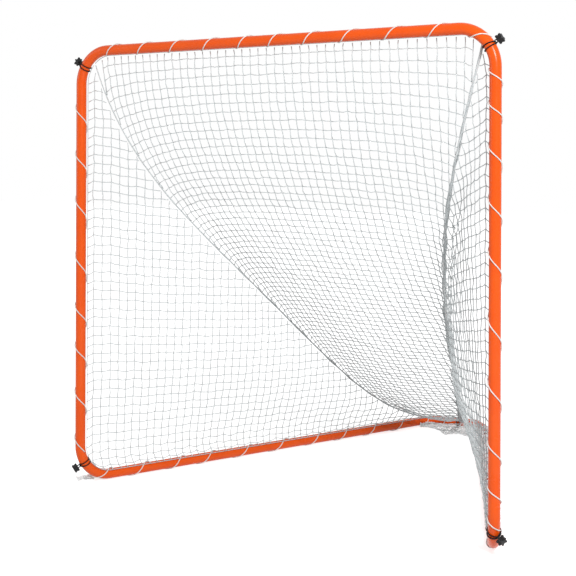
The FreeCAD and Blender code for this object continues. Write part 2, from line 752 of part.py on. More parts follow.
def above_ground(solid):
    """The part of a cord above the ground, without the slivers that are cut off it."""
    box = solid.BoundBox
    margin = 10
    base = Vector(box.XMin - margin, box.YMin - margin, -margin)
    slab = Part.makeBox(box.XLength + 2 * margin, box.YLength + 2 * margin, margin, base)
    return max(solid.cut(slab).Solids, key=lambda piece: piece.Volume)


FOOT_DROP = size(f"lower_joint_height - {BASE_Z} - foot_bend_radius")
FOOT_BEND = size("foot_bend_radius") * math.pi / 2
REAR_MIDDLE = REAR.length / 2

# The open side of the mouth's tubes faces a player. On the base bars and round the rear
# corner it is the side towards the middle.
FACING_PLAYER = math.pi / 2
FACING_MIDDLE = {LEFT: -math.pi / 2, RIGHT: math.pi / 2}
REAR_FACING_MIDDLE = math.pi

bar_start = RISE + TOP_BEND
lacing(
    "lacing_post_left", MOUTH, size("left_lacing_height"), RISE - size("lacing_end_gap"),
    POST_LEFT_CROSSINGS, FACING_PLAYER,
)
lacing(
    "lacing_crossbar", MOUTH, bar_start + size("bar_lacing_gap"),
    bar_start + SPAN + size("bar_lacing_overrun"), CROSSBAR_CROSSINGS, FACING_PLAYER,
)
lacing(
    "lacing_post_right", MOUTH, MOUTH_LENGTH - RISE + size("bar_lacing_gap"),
    MOUTH_LENGTH - size("right_lacing_height"), POST_RIGHT_CROSSINGS, FACING_PLAYER,
)
for side, word in SIDES:
    foot_end = FOOT_DROP + FOOT_BEND
    lacing(
        f"lacing_base_{word}", BASES[side], foot_end - size("base_lacing_gap"),
        BASES[side].length - size("rear_lacing_gap"), BASE_CROSSINGS, FACING_MIDDLE[side], True,
    )
for side, word in SIDES:
    reach = size("rear_stub_length + rear_lacing_reach")
    begin = size("rear_stub_length + rear_lacing_start")
    first, last = (begin, reach) if side == LEFT else (REAR.length - reach, REAR.length - begin)
    lacing(f"lacing_rear_{word}", REAR, first, last, REAR_CROSSINGS, REAR_FACING_MIDDLE, True)


# Corner ties: a doubled elastic cord round the bend, with both ends in a star toggle.

TIE_R = f"({TUBE_R} + lacing_gap + tie_diameter / 2)"


def tie_frame(route, distance, roll):
    """Middle of the tie on the tube's axis, the tube's heading and the way to the toggle."""
    point, heading, outer = route.at(distance)
    across = heading.cross(outer)
    return point, heading, outer * math.cos(roll) + across * math.sin(roll)


def corner_tie(label, route, distance, roll, flat):
    """Two turns of elastic round the tube, spread apart on the far side from the toggle.

    The shift along the tube is a cosine over the two turns, which brings the ends to the
    toggle's two holes, plus a sine that spreads the strands.
    """
    radius, root = size(TIE_R), size("tie_root_radius")
    hole, spread = size("tie_hole_offset"), size("tie_spread")
    point, heading, way = tie_frame(route, distance, roll)
    rim = math.sqrt((radius + root) ** 2 - root ** 2)
    leave = math.atan2(root, rim)
    sweep = 4 * math.pi - 2 * leave
    steps = 2 * STEPS_PER_TURN

    def turn_point(step):
        angle = leave + sweep * step / steps
        shift = hole * math.cos(angle / 4)
        shift += (spread - hole * math.sqrt(0.5)) * math.sin(angle / 2)
        return route.wound(distance, roll + angle, radius, shift)

    points, ways = wound_ways(turn_point, steps)
    end_height = size(TOGGLE_BASE) + size("toggle_hole_depth") - size("toggle_hole_gap")
    first_end = point + heading * hole + way * end_height
    last_end = point - heading * hole + way * end_height
    first_root = point + heading * hole + way * rim
    last_root = point - heading * hole + way * rim
    edges = [Part.makeLine(first_end, first_root)]
    edges += arc_pair(first_root, way * -1, points[0], ways[0])
    edges += curve_edges(points, ways)
    edges += arc_pair(points[-1], ways[-1], last_root, way)
    edges.append(Part.makeLine(last_root, last_end))
    diameter = size("tie_diameter")
    solid, spine = tube_along(edges, first_end, way, diameter)
    if flat:
        solid = above_ground(solid)
    print(f"{label}: least gap {least_gap(spine, diameter):.2f} mm, length {spine.Length:.0f} mm")
    return add_solid(label, solid)


def star_toggle(label, placement):
    """A hub with five points, a waist groove and two blind holes, drawn about the body's Z."""
    body = new_body(label)
    hub_sketch = new_sketch(body, f"{label}_hub_outline", "XY_Plane")
    draw_rings(hub_sketch, "(toggle_hub_diameter / 2)")
    hub = body.newObject("PartDesign::Pad", f"{label}_hub")
    hub.Profile = hub_sketch
    hub.setExpression("Length", bound("toggle_thickness"))
    point_sketch = new_sketch(body, f"{label}_point_outline", "XY_Plane")
    half, reach = "(toggle_point_width / 2)", "(toggle_diameter / 2)"
    root = "(toggle_hub_diameter / 4)"
    draw_outline(
        point_sketch,
        (
            (f"(-{half})", root),
            (half, root),
            (f"({half} * 0.9)", f"({reach} - toggle_point_width / 4)"),
            (f"({half} * 0.4)", reach),
            (f"(-{half} * 0.4)", reach),
            (f"(-{half} * 0.9)", f"({reach} - toggle_point_width / 4)"),
        ),
    )
    star_point = body.newObject("PartDesign::Pad", f"{label}_point")
    star_point.Profile = point_sketch
    star_point.setExpression("Length", bound("toggle_thickness"))
    doc.recompute()
    ring = body.newObject("PartDesign::PolarPattern", f"{label}_points")
    ring.Originals = [star_point]
    ring.Axis = (hub_sketch, ["N_Axis"])
    ring.Angle = 360
    ring.Occurrences = 5
    body.Tip = ring
    doc.recompute()
    waist_sketch = new_sketch(body, f"{label}_waist_section", "XZ_Plane")
    low = "(toggle_thickness / 2 - toggle_waist_width / 2)"
    high = "(toggle_thickness / 2 + toggle_waist_width / 2)"
    bottom = f"({reach} - toggle_waist_depth)"
    outside = f"({reach} + toggle_waist_depth)"
    draw_outline(waist_sketch, ((bottom, low), (outside, low), (outside, high), (bottom, high)))
    waist = body.newObject("PartDesign::Groove", f"{label}_waist")
    waist.Profile = waist_sketch
    waist.ReferenceAxis = (waist_sketch, ["V_Axis"])
    waist.Angle = 360
    for name, sign in (("first", ""), ("second", "-")):
        cylinder(
            body, f"{label}_{name}_hole", (f"{sign}tie_hole_offset", "0", "0"),
            Vector(0, 0, 1), "(tie_diameter / 2 + toggle_hole_gap)", "toggle_hole_depth",
        )
    body.Placement = placement
    return body


TIE_PLACES = (
    ("top_left", MOUTH, RISE + TOP_BEND * size("tie_bend_angle") / 90, 0),
    ("top_right", MOUTH, RISE + TOP_BEND + SPAN + TOP_BEND * (1 - size("tie_bend_angle") / 90), 0),
    ("foot_left", BASES[LEFT], FOOT_DROP + FOOT_BEND * size("tie_bend_angle") / 90, 15),
    ("foot_right", BASES[RIGHT], FOOT_DROP + FOOT_BEND * size("tie_bend_angle") / 90, -35),
    ("rear", REAR, REAR_MIDDLE, 0),
)

for place, route, distance, roll_degrees in TIE_PLACES:
    roll = math.radians(roll_degrees)
    corner_tie(f"tie_{place}", route, distance, roll, place == "rear")
    middle, heading, way = tie_frame(route, distance, roll)
    turn = Rotation(heading, way.cross(heading), way, "ZXY")
    star_toggle(f"toggle_{place}", Placement(middle + way * size(TOGGLE_BASE), turn))


# The net: a back net between the two seams, and a side net under each seam. Its fine mesh is
# drawn as a coarse one, with openings an even pitch apart.

NET_R = size(f"{TUBE_R} + lacing_gap + lacing_diameter + net_edge_gap + net_thickness / 2")
NET_LEAN = 3 * math.pi / 4
SEAM_BESIDE = size("seam_diameter + net_edge_gap * 3")
SEAM_EDGE = size("seam_diameter / 2 + net_edge_gap")
HALF_REAR_BEND = size(f"rear_bend_radius * (90 - {BASE_ANGLE} / 1 deg) * pi / 180")


def seam_ends(side):
    """Where a seam leaves the top corner and where it meets the rear corner."""
    distance = RISE + TOP_BEND / 2
    if side == RIGHT:
        distance = MOUTH_LENGTH - distance
    reach = NET_R + size("seam_diameter") / 2
    top = MOUTH.wound(distance, -NET_LEAN, reach)
    rear = REAR.wound(REAR_MIDDLE + side * SEAM_BESIDE, NET_LEAN, reach)
    return top, rear


SEAM_ENDS = {side: seam_ends(side) for side, _ in SIDES}
RIDGE_SAG = size("ridge_sag")
RIDGE_DRAW_IN = size("ridge_draw_in")


def seam_point(side, share):
    """A point of a seam: a straight line, plus a sag and a pull towards the middle.

    The sag is one less a fourth power, so it is nearly even between the ends. The pull is
    greatest a third of the way down.
    """
    top, rear = SEAM_ENDS[side]
    line = (rear - top).normalize()
    inwards = line.cross(Vector(0, 0, -side)).normalize()
    down = inwards.cross(line).normalize() * side
    sag = RIDGE_SAG * (1 - (2 * share - 1) ** 4)
    pull = RIDGE_DRAW_IN * 6.75 * share * (1 - share) ** 2
    return top + (rear - top) * share + inwards * pull + down * sag


def seam_way(side, share):
    """The way a seam runs, from its top to the rear corner."""
    nudge = 1e-4
    return (seam_point(side, share + nudge) - seam_point(side, share - nudge)).normalize()


def beside_seam(side, share, aim):
    """The edge of a net beside a seam, on the side where the aim lies."""
    point, way = seam_point(side, share), seam_way(side, share)
    aside = aim - point
    aside = (aside - way * aside.dot(way)).normalize()
    return point + aside * SEAM_EDGE


def on_base(side, share):
    """The edge of a side net beside the base bar, from the foot's bend to the rear corner."""
    base_length = BASES[side].length
    end = base_length + HALF_REAR_BEND - 2.5 * SEAM_BESIDE
    distance = FOOT_DROP + (end - FOOT_DROP) * share
    if distance <= base_length:
        return BASES[side].wound(distance, side * NET_LEAN, NET_R)
    rear_distance = size("rear_stub_length") + distance - base_length
    if side == RIGHT:
        rear_distance = REAR.length - rear_distance
    return REAR.wound(rear_distance, NET_LEAN, NET_R)


def on_mouth(distance):
    """The edge of a net beside a post or the crossbar, at a distance along the mouth."""
    return MOUTH.wound(distance, -NET_LEAN, NET_R)


def patch_point(first, second, near, far, share, across):
    """A point of the patch between four edges.

    It is the blend of the two long edges, plus the blend of the two cross edges, less the
    blend of the cross edges' ends, which both of the others hold.
    """
    long_blend = first(share) * (1 - across) + second(share) * across
    cross_blend = near(across) * (1 - share) + far(across) * share
    near_ends = near(0) * (1 - across) + near(1) * across
    far_ends = far(0) * (1 - across) + far(1) * across
    return long_blend + cross_blend - near_ends * (1 - share) - far_ends * share


DOWN_SHARES = (0, 0.03, 0.06, 0.1, 0.16, 0.24, 0.34, 0.44, 0.54, 0.64, 0.74, 0.82, 0.88, 0.93, 0.97, 1)
ACROSS_SHARES = (0, 0.02, 0.04, 0.06, 0.09, 0.15, 0.25, 0.4, 0.6, 0.75, 0.85, 0.91, 0.94, 0.96, 0.98, 1)
LINE_STEPS = 64
WIDTH_STEPS = 12
SIDE_STEPS = 4


def line_length(points):
    """Length of a line through points."""
    return sum((after - before).Length for before, after in zip(points, points[1:]))


def opening_outlines(hung, anchor):
    """Outlines of the net's openings, each a list of spots given as shares of the patch.

    Rows lie a pitch apart down the line whose share across is the anchor. In a row the
    openings are counted from that line, a pitch apart, and those that would reach the
    patch's edges stop a strand's width short of them.
    """
    pitch, strand = size("net_pitch"), size("net_strand_width")
    line = [hung(step / LINE_STEPS, anchor) for step in range(LINE_STEPS + 1)]
    reached = [line_length(line[:step + 1]) for step in range(LINE_STEPS + 1)]

    def share_at(distance):
        """Share down the patch at a distance down the line."""
        step = next(step for step in range(1, LINE_STEPS + 1) if reached[step] >= distance)
        rest = (distance - reached[step - 1]) / (reached[step] - reached[step - 1])
        return (step - 1 + rest) / LINE_STEPS

    outlines = []
    for row in range(int(reached[-1] / pitch)):
        first = share_at(max(row * pitch + strand / 2, strand))
        last = share_at((row + 1) * pitch - strand / 2)
        shares = [first + (last - first) * step / SIDE_STEPS for step in range(SIDE_STEPS + 1)]
        widths = [
            line_length([hung(share, step / WIDTH_STEPS) for step in range(WIDTH_STEPS + 1)])
            for share in shares
        ]
        columns = range(
            math.floor(-anchor * widths[0] / pitch), math.ceil((1 - anchor) * widths[0] / pitch)
        )
        for column in columns:
            lows, highs = [], []
            for share, width in zip(shares, widths):
                low = max(column * pitch + strand / 2, strand - anchor * width)
                high = min((column + 1) * pitch - strand / 2, (1 - anchor) * width - strand)
                if high - low > strand:
                    lows.append((share, anchor + low / width))
                    highs.append((share, anchor + high / width))
            if len(lows) > 1:
                outlines.append(lows + highs[::-1])
    return outlines


def hung_state(hung, share, across):
    """A point of a hung patch, and the net's normal there."""
    nudge = 1e-3
    down = hung(min(share + nudge, 1), across) - hung(max(share - nudge, 0), across)
    over = hung(share, min(across + nudge, 1)) - hung(share, max(across - nudge, 0))
    return hung(share, across), down.cross(over).normalize()


def outline_on(surface, points):
    """A closed outline of lines on a surface, through the places nearest to the points."""
    spots = [FreeCAD.Base.Vector2d(*surface.parameter(point)) for point in points]
    edges = []
    for spot, after in zip(spots, spots[1:] + spots[:1]):
        edges.append(Part.Geom2d.Line2dSegment(spot, after).toShape(surface))
    return Part.Wire(edges)


def hung_net(label, patch, inwards, belly, anchor):
    """A net over a patch, hanging inwards by a belly that is greatest in its middle.

    Each of its two faces is one smooth surface with a hole for each opening, and ruled
    walls join them round the outside and inside the openings.
    """
    half = size("net_thickness") / 2

    def hung(share, across):
        depth = belly * math.sin(math.pi * share) * math.sin(math.pi * across)
        return patch_point(*patch, share, across) + inwards * depth

    grid = [[hung_state(hung, share, across) for across in ACROSS_SHARES] for share in DOWN_SHARES]
    outlines = [[hung_state(hung, *spot) for spot in spots] for spots in opening_outlines(hung, anchor)]
    faces, rims = [], []
    for offset in (-half, half):
        surface = Part.BSplineSurface()
        surface.interpolate([[point + normal * offset for point, normal in line] for line in grid])
        holes = [
            outline_on(surface, [point + normal * offset for point, normal in outline])
            for outline in outlines
        ]
        face = Part.Face(surface, holes)
        face.validate()
        faces.append(face)
        rims.append([Part.Face(surface).OuterWire] + holes)
    walls = []
    for near, far in zip(*rims):
        for near_edge, far_edge in zip(near.Edges, far.Edges):
            walls.append(Part.makeRuledSurface(near_edge, far_edge))
    skin = Part.makeShell(faces + walls)
    skin.sewShape()
    solid = Part.makeSolid(skin.Shells[0])
    if solid.Volume < 0:
        solid.reverse()
    print(f"{label}: {len(outlines)} openings, {solid.Volume / 1000:.0f} cm3")
    return add_solid(label, solid)


def back_net():
    """The net from the crossbar down to the rear corner, between the seams."""
    start = RISE + TOP_BEND / 2 + SEAM_EDGE
    end = MOUTH_LENGTH - start
    patch = (
        lambda share: beside_seam(LEFT, share, seam_point(RIGHT, share)),
        lambda share: beside_seam(RIGHT, share, seam_point(LEFT, share)),
        lambda across: on_mouth(start + (end - start) * across),
        lambda across: beside_seam(LEFT, 1, seam_point(RIGHT, 1)) * (1 - across)
        + beside_seam(RIGHT, 1, seam_point(LEFT, 1)) * across,
    )
    inwards = Vector(0, -1, -1).normalize()
    return hung_net("net_back", patch, inwards, size("back_net_belly"), anchor=0.5)


def side_net(side, word):
    """The net from a post back to the rear corner, between a seam and the base bar."""
    base_angle = math.radians(size(BASE_ANGLE))
    inwards = Vector(-side * math.cos(base_angle), -math.sin(base_angle), 0)
    top = RISE + TOP_BEND / 2 - SEAM_EDGE
    foot = size(f"{BASE_Z} + foot_bend_radius")

    def on_post(across):
        distance = top + (foot - top) * across
        return on_mouth(distance if side == LEFT else MOUTH_LENGTH - distance)

    apex = beside_seam(side, 1, on_base(side, 1))
    patch = (
        lambda share: beside_seam(side, share, on_base(side, share)),
        lambda share: on_base(side, share),
        on_post,
        lambda across: apex * (1 - across) + on_base(side, 1) * across,
    )
    return hung_net(f"net_{word}", patch, inwards, size("side_net_belly"), anchor=1)


def net_seam(side, word):
    """The gathered cord where a side net is sewn to the back net."""
    shares = [step / 24 for step in range(25)]
    points = [seam_point(side, share) for share in shares]
    ways = [seam_way(side, share) for share in shares]
    solid, _ = tube_along(curve_edges(points, ways), points[0], ways[0], size("seam_diameter"))
    return add_solid(f"net_seam_{word}", solid)


back_net()
for side, word in SIDES:
    side_net(side, word)
    net_seam(side, word)


# Check every object, then write each sub-part to its own file.

doc.recompute()
for item in doc.Objects:
    if "Invalid" in item.State or "Error" in item.State:
        raise RuntimeError(f"{item.Name} failed: {item.State}")

subparts = [item for item in doc.Objects if item.TypeId in ("PartDesign::Body", "Part::Feature")]
os.makedirs("parts", exist_ok=True)
for item in subparts:
    if item.Shape.isNull() or not item.Shape.isValid():
        raise RuntimeError(f"{item.Label} has no valid shape")
for item in subparts:
    item.Shape.exportStep(f"parts/{item.Label}.step")
print(f"{len(subparts)} sub-parts written")
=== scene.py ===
# %% [markdown]
# # A backyard lacrosse goal
#
# The goal is a square mouth of orange steel tube with two base bars that run back to one
# rounded corner. A white net hangs from it in three panels. This lesson takes the tubes as
# they come from the construction model and adds what makes the object read as real: the
# knotted net, the cord that laces it on, the elastic ties with their star toggles, and the
# finishes. Every length here is in metres, in the construction model's own frame.

import bpy
import numpy as np
from mathutils import Matrix


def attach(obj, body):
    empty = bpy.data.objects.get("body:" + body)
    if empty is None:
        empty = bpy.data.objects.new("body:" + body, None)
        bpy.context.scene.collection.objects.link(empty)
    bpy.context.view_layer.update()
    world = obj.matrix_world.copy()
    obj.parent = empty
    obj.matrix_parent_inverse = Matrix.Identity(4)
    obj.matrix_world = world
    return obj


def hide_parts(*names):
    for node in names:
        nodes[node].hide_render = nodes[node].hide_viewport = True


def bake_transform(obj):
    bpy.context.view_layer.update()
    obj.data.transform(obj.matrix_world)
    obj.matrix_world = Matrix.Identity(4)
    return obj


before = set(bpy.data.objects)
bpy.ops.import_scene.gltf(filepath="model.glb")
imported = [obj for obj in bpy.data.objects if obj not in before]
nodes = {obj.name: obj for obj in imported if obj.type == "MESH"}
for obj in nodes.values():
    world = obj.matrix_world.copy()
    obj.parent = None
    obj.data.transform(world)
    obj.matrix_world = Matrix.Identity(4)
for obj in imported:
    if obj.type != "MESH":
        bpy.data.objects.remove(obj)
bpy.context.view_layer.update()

# %% [markdown]
# ## Sizes
#
# The net and the cords follow the tubes, so the few sizes that place the tubes are named
# once here. The origin is on the ground midway between the posts, +Z is up and +Y runs
# back from the mouth.

# %% Sizes of the frame, in metres
MM = 0.001
TUBE_R = 21.5 * MM
CORD_GAP = 0.4 * MM
CORD_D = 4.5 * MM
CORD_R = CORD_D / 2
GROUND_FLAT = 0.5 * MM
POST_X = 914.5 * MM + TUBE_R
BAR_Z = 1829 * MM + TUBE_R
BASE_Z = TUBE_R + CORD_GAP + CORD_D - GROUND_FLAT
MEETING_DEPTH = 2250 * MM
TOP_BEND_R = 140 * MM
FOOT_BEND_R = 140 * MM
REAR_BEND_R = 207 * MM
REAR_STUB = 24 * MM
LOWER_JOINT_Z = 864 * MM
LEFT, RIGHT = -1, 1
SIDES = ((LEFT, "left"), (RIGHT, "right"))

BASE_ANGLE = np.arctan(POST_X / MEETING_DEPTH)
BASE_LENGTH = np.hypot(POST_X, MEETING_DEPTH)
REAR_TANGENT = BASE_LENGTH - REAR_BEND_R / np.tan(BASE_ANGLE)
RISE = BAR_Z - TOP_BEND_R
SPAN = 2 * (POST_X - TOP_BEND_R)
QUARTER = np.pi / 2
TOP_BEND = TOP_BEND_R * QUARTER
FOOT_BEND = FOOT_BEND_R * QUARTER
MOUTH_LENGTH = 2 * RISE + 2 * TOP_BEND + SPAN
print(f"base bars meet at {np.degrees(2 * BASE_ANGLE):.1f} degrees")

# %% [markdown]
# ## Routes along the tubes
#
# Cords wind round the tubes and the net's edges run beside them, so each tube's axis is
# kept as a route: straight runs and bends, with a heading and an outer side that turn along
# with it. A route could be a curve object, but plain arrays let every later shape be one
# formula of the distance along it.


# %% Routes
def unit(vectors):
    """Vectors divided by their own lengths."""
    return vectors / np.linalg.norm(vectors, axis=-1, keepdims=True)


def side_frame(way, facing):
    """Two directions square to a way; the first is the nearest to the facing one."""
    out = unit(facing - way * np.sum(facing * way, axis=-1, keepdims=True))
    return out, np.cross(way, out)


def turned(outer, across, angle):
    """The directions at angles counted from the outer one towards the one across."""
    angle = np.asarray(angle)[..., None]
    return outer * np.cos(angle) + across * np.sin(angle)


def distances_along(path):
    """Distance along a line through points, at each of them."""
    return np.append(0.0, np.cumsum(np.linalg.norm(np.diff(path, axis=0), axis=1)))


def spun(vector, axis, angles):
    """A vector turned about an axis by each angle: v cos a + (k x v) sin a + k (k.v)(1 - cos a)."""
    cos, sin = np.cos(angles)[..., None], np.sin(angles)[..., None]
    return vector * cos + np.cross(axis, vector) * sin + axis * (axis @ vector) * (1 - cos)


def bend_state(piece, distance):
    """Point, heading and outer side at a distance along one bend, which is an arc."""
    axis = np.cross(piece["away"], piece["heading"])
    angles = distance / piece["radius"]
    centre = piece["point"] - piece["away"] * piece["radius"]
    point = centre + spun(piece["away"], axis, angles) * piece["radius"]
    return point, spun(piece["heading"], axis, angles), spun(piece["outer"], axis, angles)


def lay_route(point, heading, outer, steps):
    """Pieces of a route. A step is (length, None) for a run or (angle, radius, away) for a bend."""
    pieces, begin = [], 0.0
    state = tuple(np.array(v, float) for v in (point, heading, outer))
    for amount, radius, *away in steps:
        piece = dict(begin=begin, point=state[0], heading=state[1], outer=state[2], radius=radius)
        piece["away"] = np.array(away[0], float) if away else state[2]
        pieces.append(piece)
        length = amount if radius is None else amount * radius
        if radius is None:
            state = (state[0] + state[1] * length, state[1], state[2])
        else:
            state = tuple(v[0] for v in bend_state(piece, np.array([length])))
        begin += length
    return pieces


def on_route(route, distance):
    """Point, heading and outer side of a route at each distance."""
    distance = np.asarray(distance, float)
    states = [np.zeros(distance.shape + (3,)) for _ in range(3)]
    for index, piece in enumerate(route):
        here = distance >= piece["begin"] if index else np.ones(distance.shape, bool)
        local = distance[here] - piece["begin"]
        if piece["radius"] is None:
            found = (
                piece["point"] + piece["heading"] * local[:, None],
                np.broadcast_to(piece["heading"], local.shape + (3,)),
                np.broadcast_to(piece["outer"], local.shape + (3,)),
            )
        else:
            found = bend_state(piece, local)
        for state, part in zip(states, found):
            state[here] = part
    return states


def wound(route, distance, angle, radius):
    """Points beside a route: radius away from it, at an angle counted from its outer side."""
    point, heading, outer = on_route(route, distance)
    return point + radius * turned(outer, np.cross(heading, outer), angle)


LEGS = {side: np.array([-side * np.sin(BASE_ANGLE), np.cos(BASE_ANGLE), 0]) for side, _ in SIDES}
MOUTH = lay_route(
    (-POST_X, 0, 0), (0, 0, 1), (-1, 0, 0),
    (
        (RISE, None), (QUARTER, TOP_BEND_R), (SPAN, None), (QUARTER, TOP_BEND_R),
        (RISE - BASE_Z - FOOT_BEND_R, None), (QUARTER, FOOT_BEND_R, -LEGS[RIGHT]),
    ),
)
FOOT_DROP = LOWER_JOINT_Z - BASE_Z - FOOT_BEND_R
BASE_ROUTE_LENGTH = FOOT_DROP + FOOT_BEND + REAR_TANGENT - FOOT_BEND_R
BASES = {
    side: lay_route(
        (side * POST_X, 0, LOWER_JOINT_Z), (0, 0, -1), -LEGS[side],
        ((FOOT_DROP, None), (QUARTER, FOOT_BEND_R), (REAR_TANGENT - FOOT_BEND_R, None)),
    )
    for side, _ in SIDES
}
REAR_START = np.array([-POST_X, 0, BASE_Z]) + LEGS[LEFT] * (REAR_TANGENT - REAR_STUB)
REAR_OUTER = np.array([-np.cos(BASE_ANGLE), np.sin(BASE_ANGLE), 0])
REAR_TURN = np.pi - 2 * BASE_ANGLE
REAR = lay_route(
    REAR_START, LEGS[LEFT], REAR_OUTER,
    ((REAR_STUB, None), (REAR_TURN, REAR_BEND_R), (REAR_STUB, None)),
)
REAR_LENGTH = 2 * REAR_STUB + REAR_TURN * REAR_BEND_R
print(f"mouth route {MOUTH_LENGTH:.3f} m, rear corner {REAR_LENGTH:.3f} m")

# %% [markdown]
# ## Meshes from arrays
#
# Two small helpers turn arrays into pieces. The first fills a mesh with quads and
# triangles straight from numpy, with a UV map where a pattern has to follow the cord. The
# second makes the object, gives it its finish and says what it rides on and stands for.


# %% From arrays to pieces
def mesh_from_arrays(name, vertices, quads, triangles=None, quad_uvs=None):
    """A mesh of quads, then triangles. The UVs are one pair for each corner of each quad."""
    triangles = np.zeros((0, 3), int) if triangles is None else triangles
    mesh = bpy.data.meshes.new(name)
    mesh.vertices.add(len(vertices))
    mesh.vertices.foreach_set("co", np.asarray(vertices, np.float32).ravel())
    corners = np.concatenate([quads.ravel(), triangles.ravel()]).astype(np.int32)
    starts = np.concatenate([np.arange(len(quads)) * 4, quads.size + np.arange(len(triangles)) * 3])
    mesh.loops.add(len(corners))
    mesh.loops.foreach_set("vertex_index", corners)
    mesh.polygons.add(len(starts))
    mesh.polygons.foreach_set("loop_start", starts.astype(np.int32))
    mesh.update(calc_edges=True)
    if quad_uvs is not None:
        uvs = np.zeros((len(corners), 2), np.float32)
        uvs[: quads.size] = quad_uvs.reshape(-1, 2)
        mesh.uv_layers.new(name="along_cord").data.foreach_set("uv", uvs.ravel())
    mesh.polygons.foreach_set("use_smooth", np.ones(len(starts), bool))
    mesh.update()
    return mesh


def add_piece(mesh, finish, body, stands_for=()):
    """An object for the mesh, riding on a body and standing for construction nodes."""
    piece = bpy.data.objects.new(mesh.name, mesh)
    bpy.context.scene.collection.objects.link(piece)
    mesh.materials.append(finish)
    if body:
        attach(piece, body)
    if stands_for:
        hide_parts(*stands_for)
    return piece


# %% [markdown]
# ## Finishes
#
# Each finish starts from what the real material is. Colours are written as sRGB hex and
# turned to linear by one function, because the shader works in linear light. Patterns too
# fine for the picture are drawn coarser than life, which each comment says.


# %% Node helper and colours
def linear(hex_colour):
    """Linear RGBA of an sRGB hex colour."""
    channels = np.array([int(hex_colour[i : i + 2], 16) for i in (1, 3, 5)]) / 255
    low, high = channels / 12.92, ((channels + 0.055) / 1.055) ** 2.4
    return (*np.where(channels <= 0.04045, low, high), 1.0)


def add_node(tree, kind, inputs=(), **settings):
    """A shader node with its settings; each input is given a value, or linked.

    A value that is a node stands for the first of its outputs that is in use.
    """
    node = tree.nodes.new("ShaderNode" + kind)
    for name, value in settings.items():
        setattr(node, name, value)
    for name, value in dict(inputs).items():
        if isinstance(value, bpy.types.Node):
            value = next(socket for socket in value.outputs if socket.enabled)
        if isinstance(value, bpy.types.NodeSocket):
            tree.links.new(value, node.inputs[name])
        else:
            node.inputs[name].default_value = value
    return node


def new_finish(name):
    """An empty material and its node tree."""
    material = bpy.data.materials.new(name)
    material.use_nodes = True
    material.node_tree.nodes.clear()
    print("finish", name)
    return material, material.node_tree


def close_finish(finish, kind, inputs):
    """The material with its last shader, which goes to its output."""
    tree = finish.node_tree
    add_node(tree, "OutputMaterial", {"Surface": add_node(tree, kind, inputs)})
    return finish


# %% [markdown]
# ### Orange powder coat
#
# The tubes are steel with a baked polyester powder coat. The powder melts into a glossy
# skin with a faint orange-peel ripple about 4 mm across. The coat is a touch deeper where
# it pooled, and dust dulls it in patches.


# %% Orange powder coat
def powder_coat():
    """Glossy orange skin: mottled base colour, rippled gloss, fine bump."""
    finish, tree = new_finish("powder_coated_steel")
    place = add_node(tree, "TexCoord").outputs["Object"]
    # Pooling is in faint patches of 120 mm, dust and handling in 40 mm, the ripple in 4 mm.
    pooling, dulling, peel = (
        add_node(tree, "TexNoise", {"Vector": place, "Scale": 1 / size, "Detail": detail})
        for size, detail in ((120 * MM, 3.0), (40 * MM, 6.0), (4 * MM, 1.0))
    )
    tints = {"Factor": pooling, "A": linear("#E04C06"), "B": linear("#EE5C0C")}
    roughness = add_node(
        tree, "MapRange",
        {"Value": dulling, "From Min": 0.3, "From Max": 0.75, "To Min": 0.17, "To Max": 0.3},
    )
    return close_finish(finish, "BsdfPrincipled", {
        "Base Color": add_node(tree, "Mix", tints, data_type="RGBA"),
        "Roughness": roughness,
        "Normal": add_node(tree, "Bump", {"Height": peel, "Strength": 0.18, "Distance": 0.6 * MM}),
        "IOR": 1.52,
        "Specular IOR Level": 0.22,
    })


POWDER_COAT = powder_coat()

# %% [markdown]
# ### Zinc-plated spring steel
#
# The spring buttons are pressed from plated strip. The plating has a soft, slightly blue
# brightness and fine scratches from sliding in the tube.


# %% Zinc-plated spring steel
def zinc_plate():
    """Bright metal with scratches drawn along Z, about 0.5 mm apart, coarser than life."""
    finish, tree = new_finish("zinc_plated_steel")
    place = add_node(tree, "TexCoord").outputs["Object"]
    stretched = add_node(tree, "Mapping", {"Vector": place, "Scale": (1.0, 1.0, 0.08)})
    scratches = add_node(
        tree, "TexNoise", {"Vector": stretched, "Scale": 1 / (0.5 * MM), "Detail": 2.0}
    )
    roughness = add_node(tree, "MapRange", {"Value": scratches, "To Min": 0.22, "To Max": 0.42})
    metal = {"Base Color": linear("#C4C6CA"), "Metallic": 1.0, "Roughness": roughness}
    return close_finish(finish, "BsdfPrincipled", metal)


ZINC_PLATE = zinc_plate()
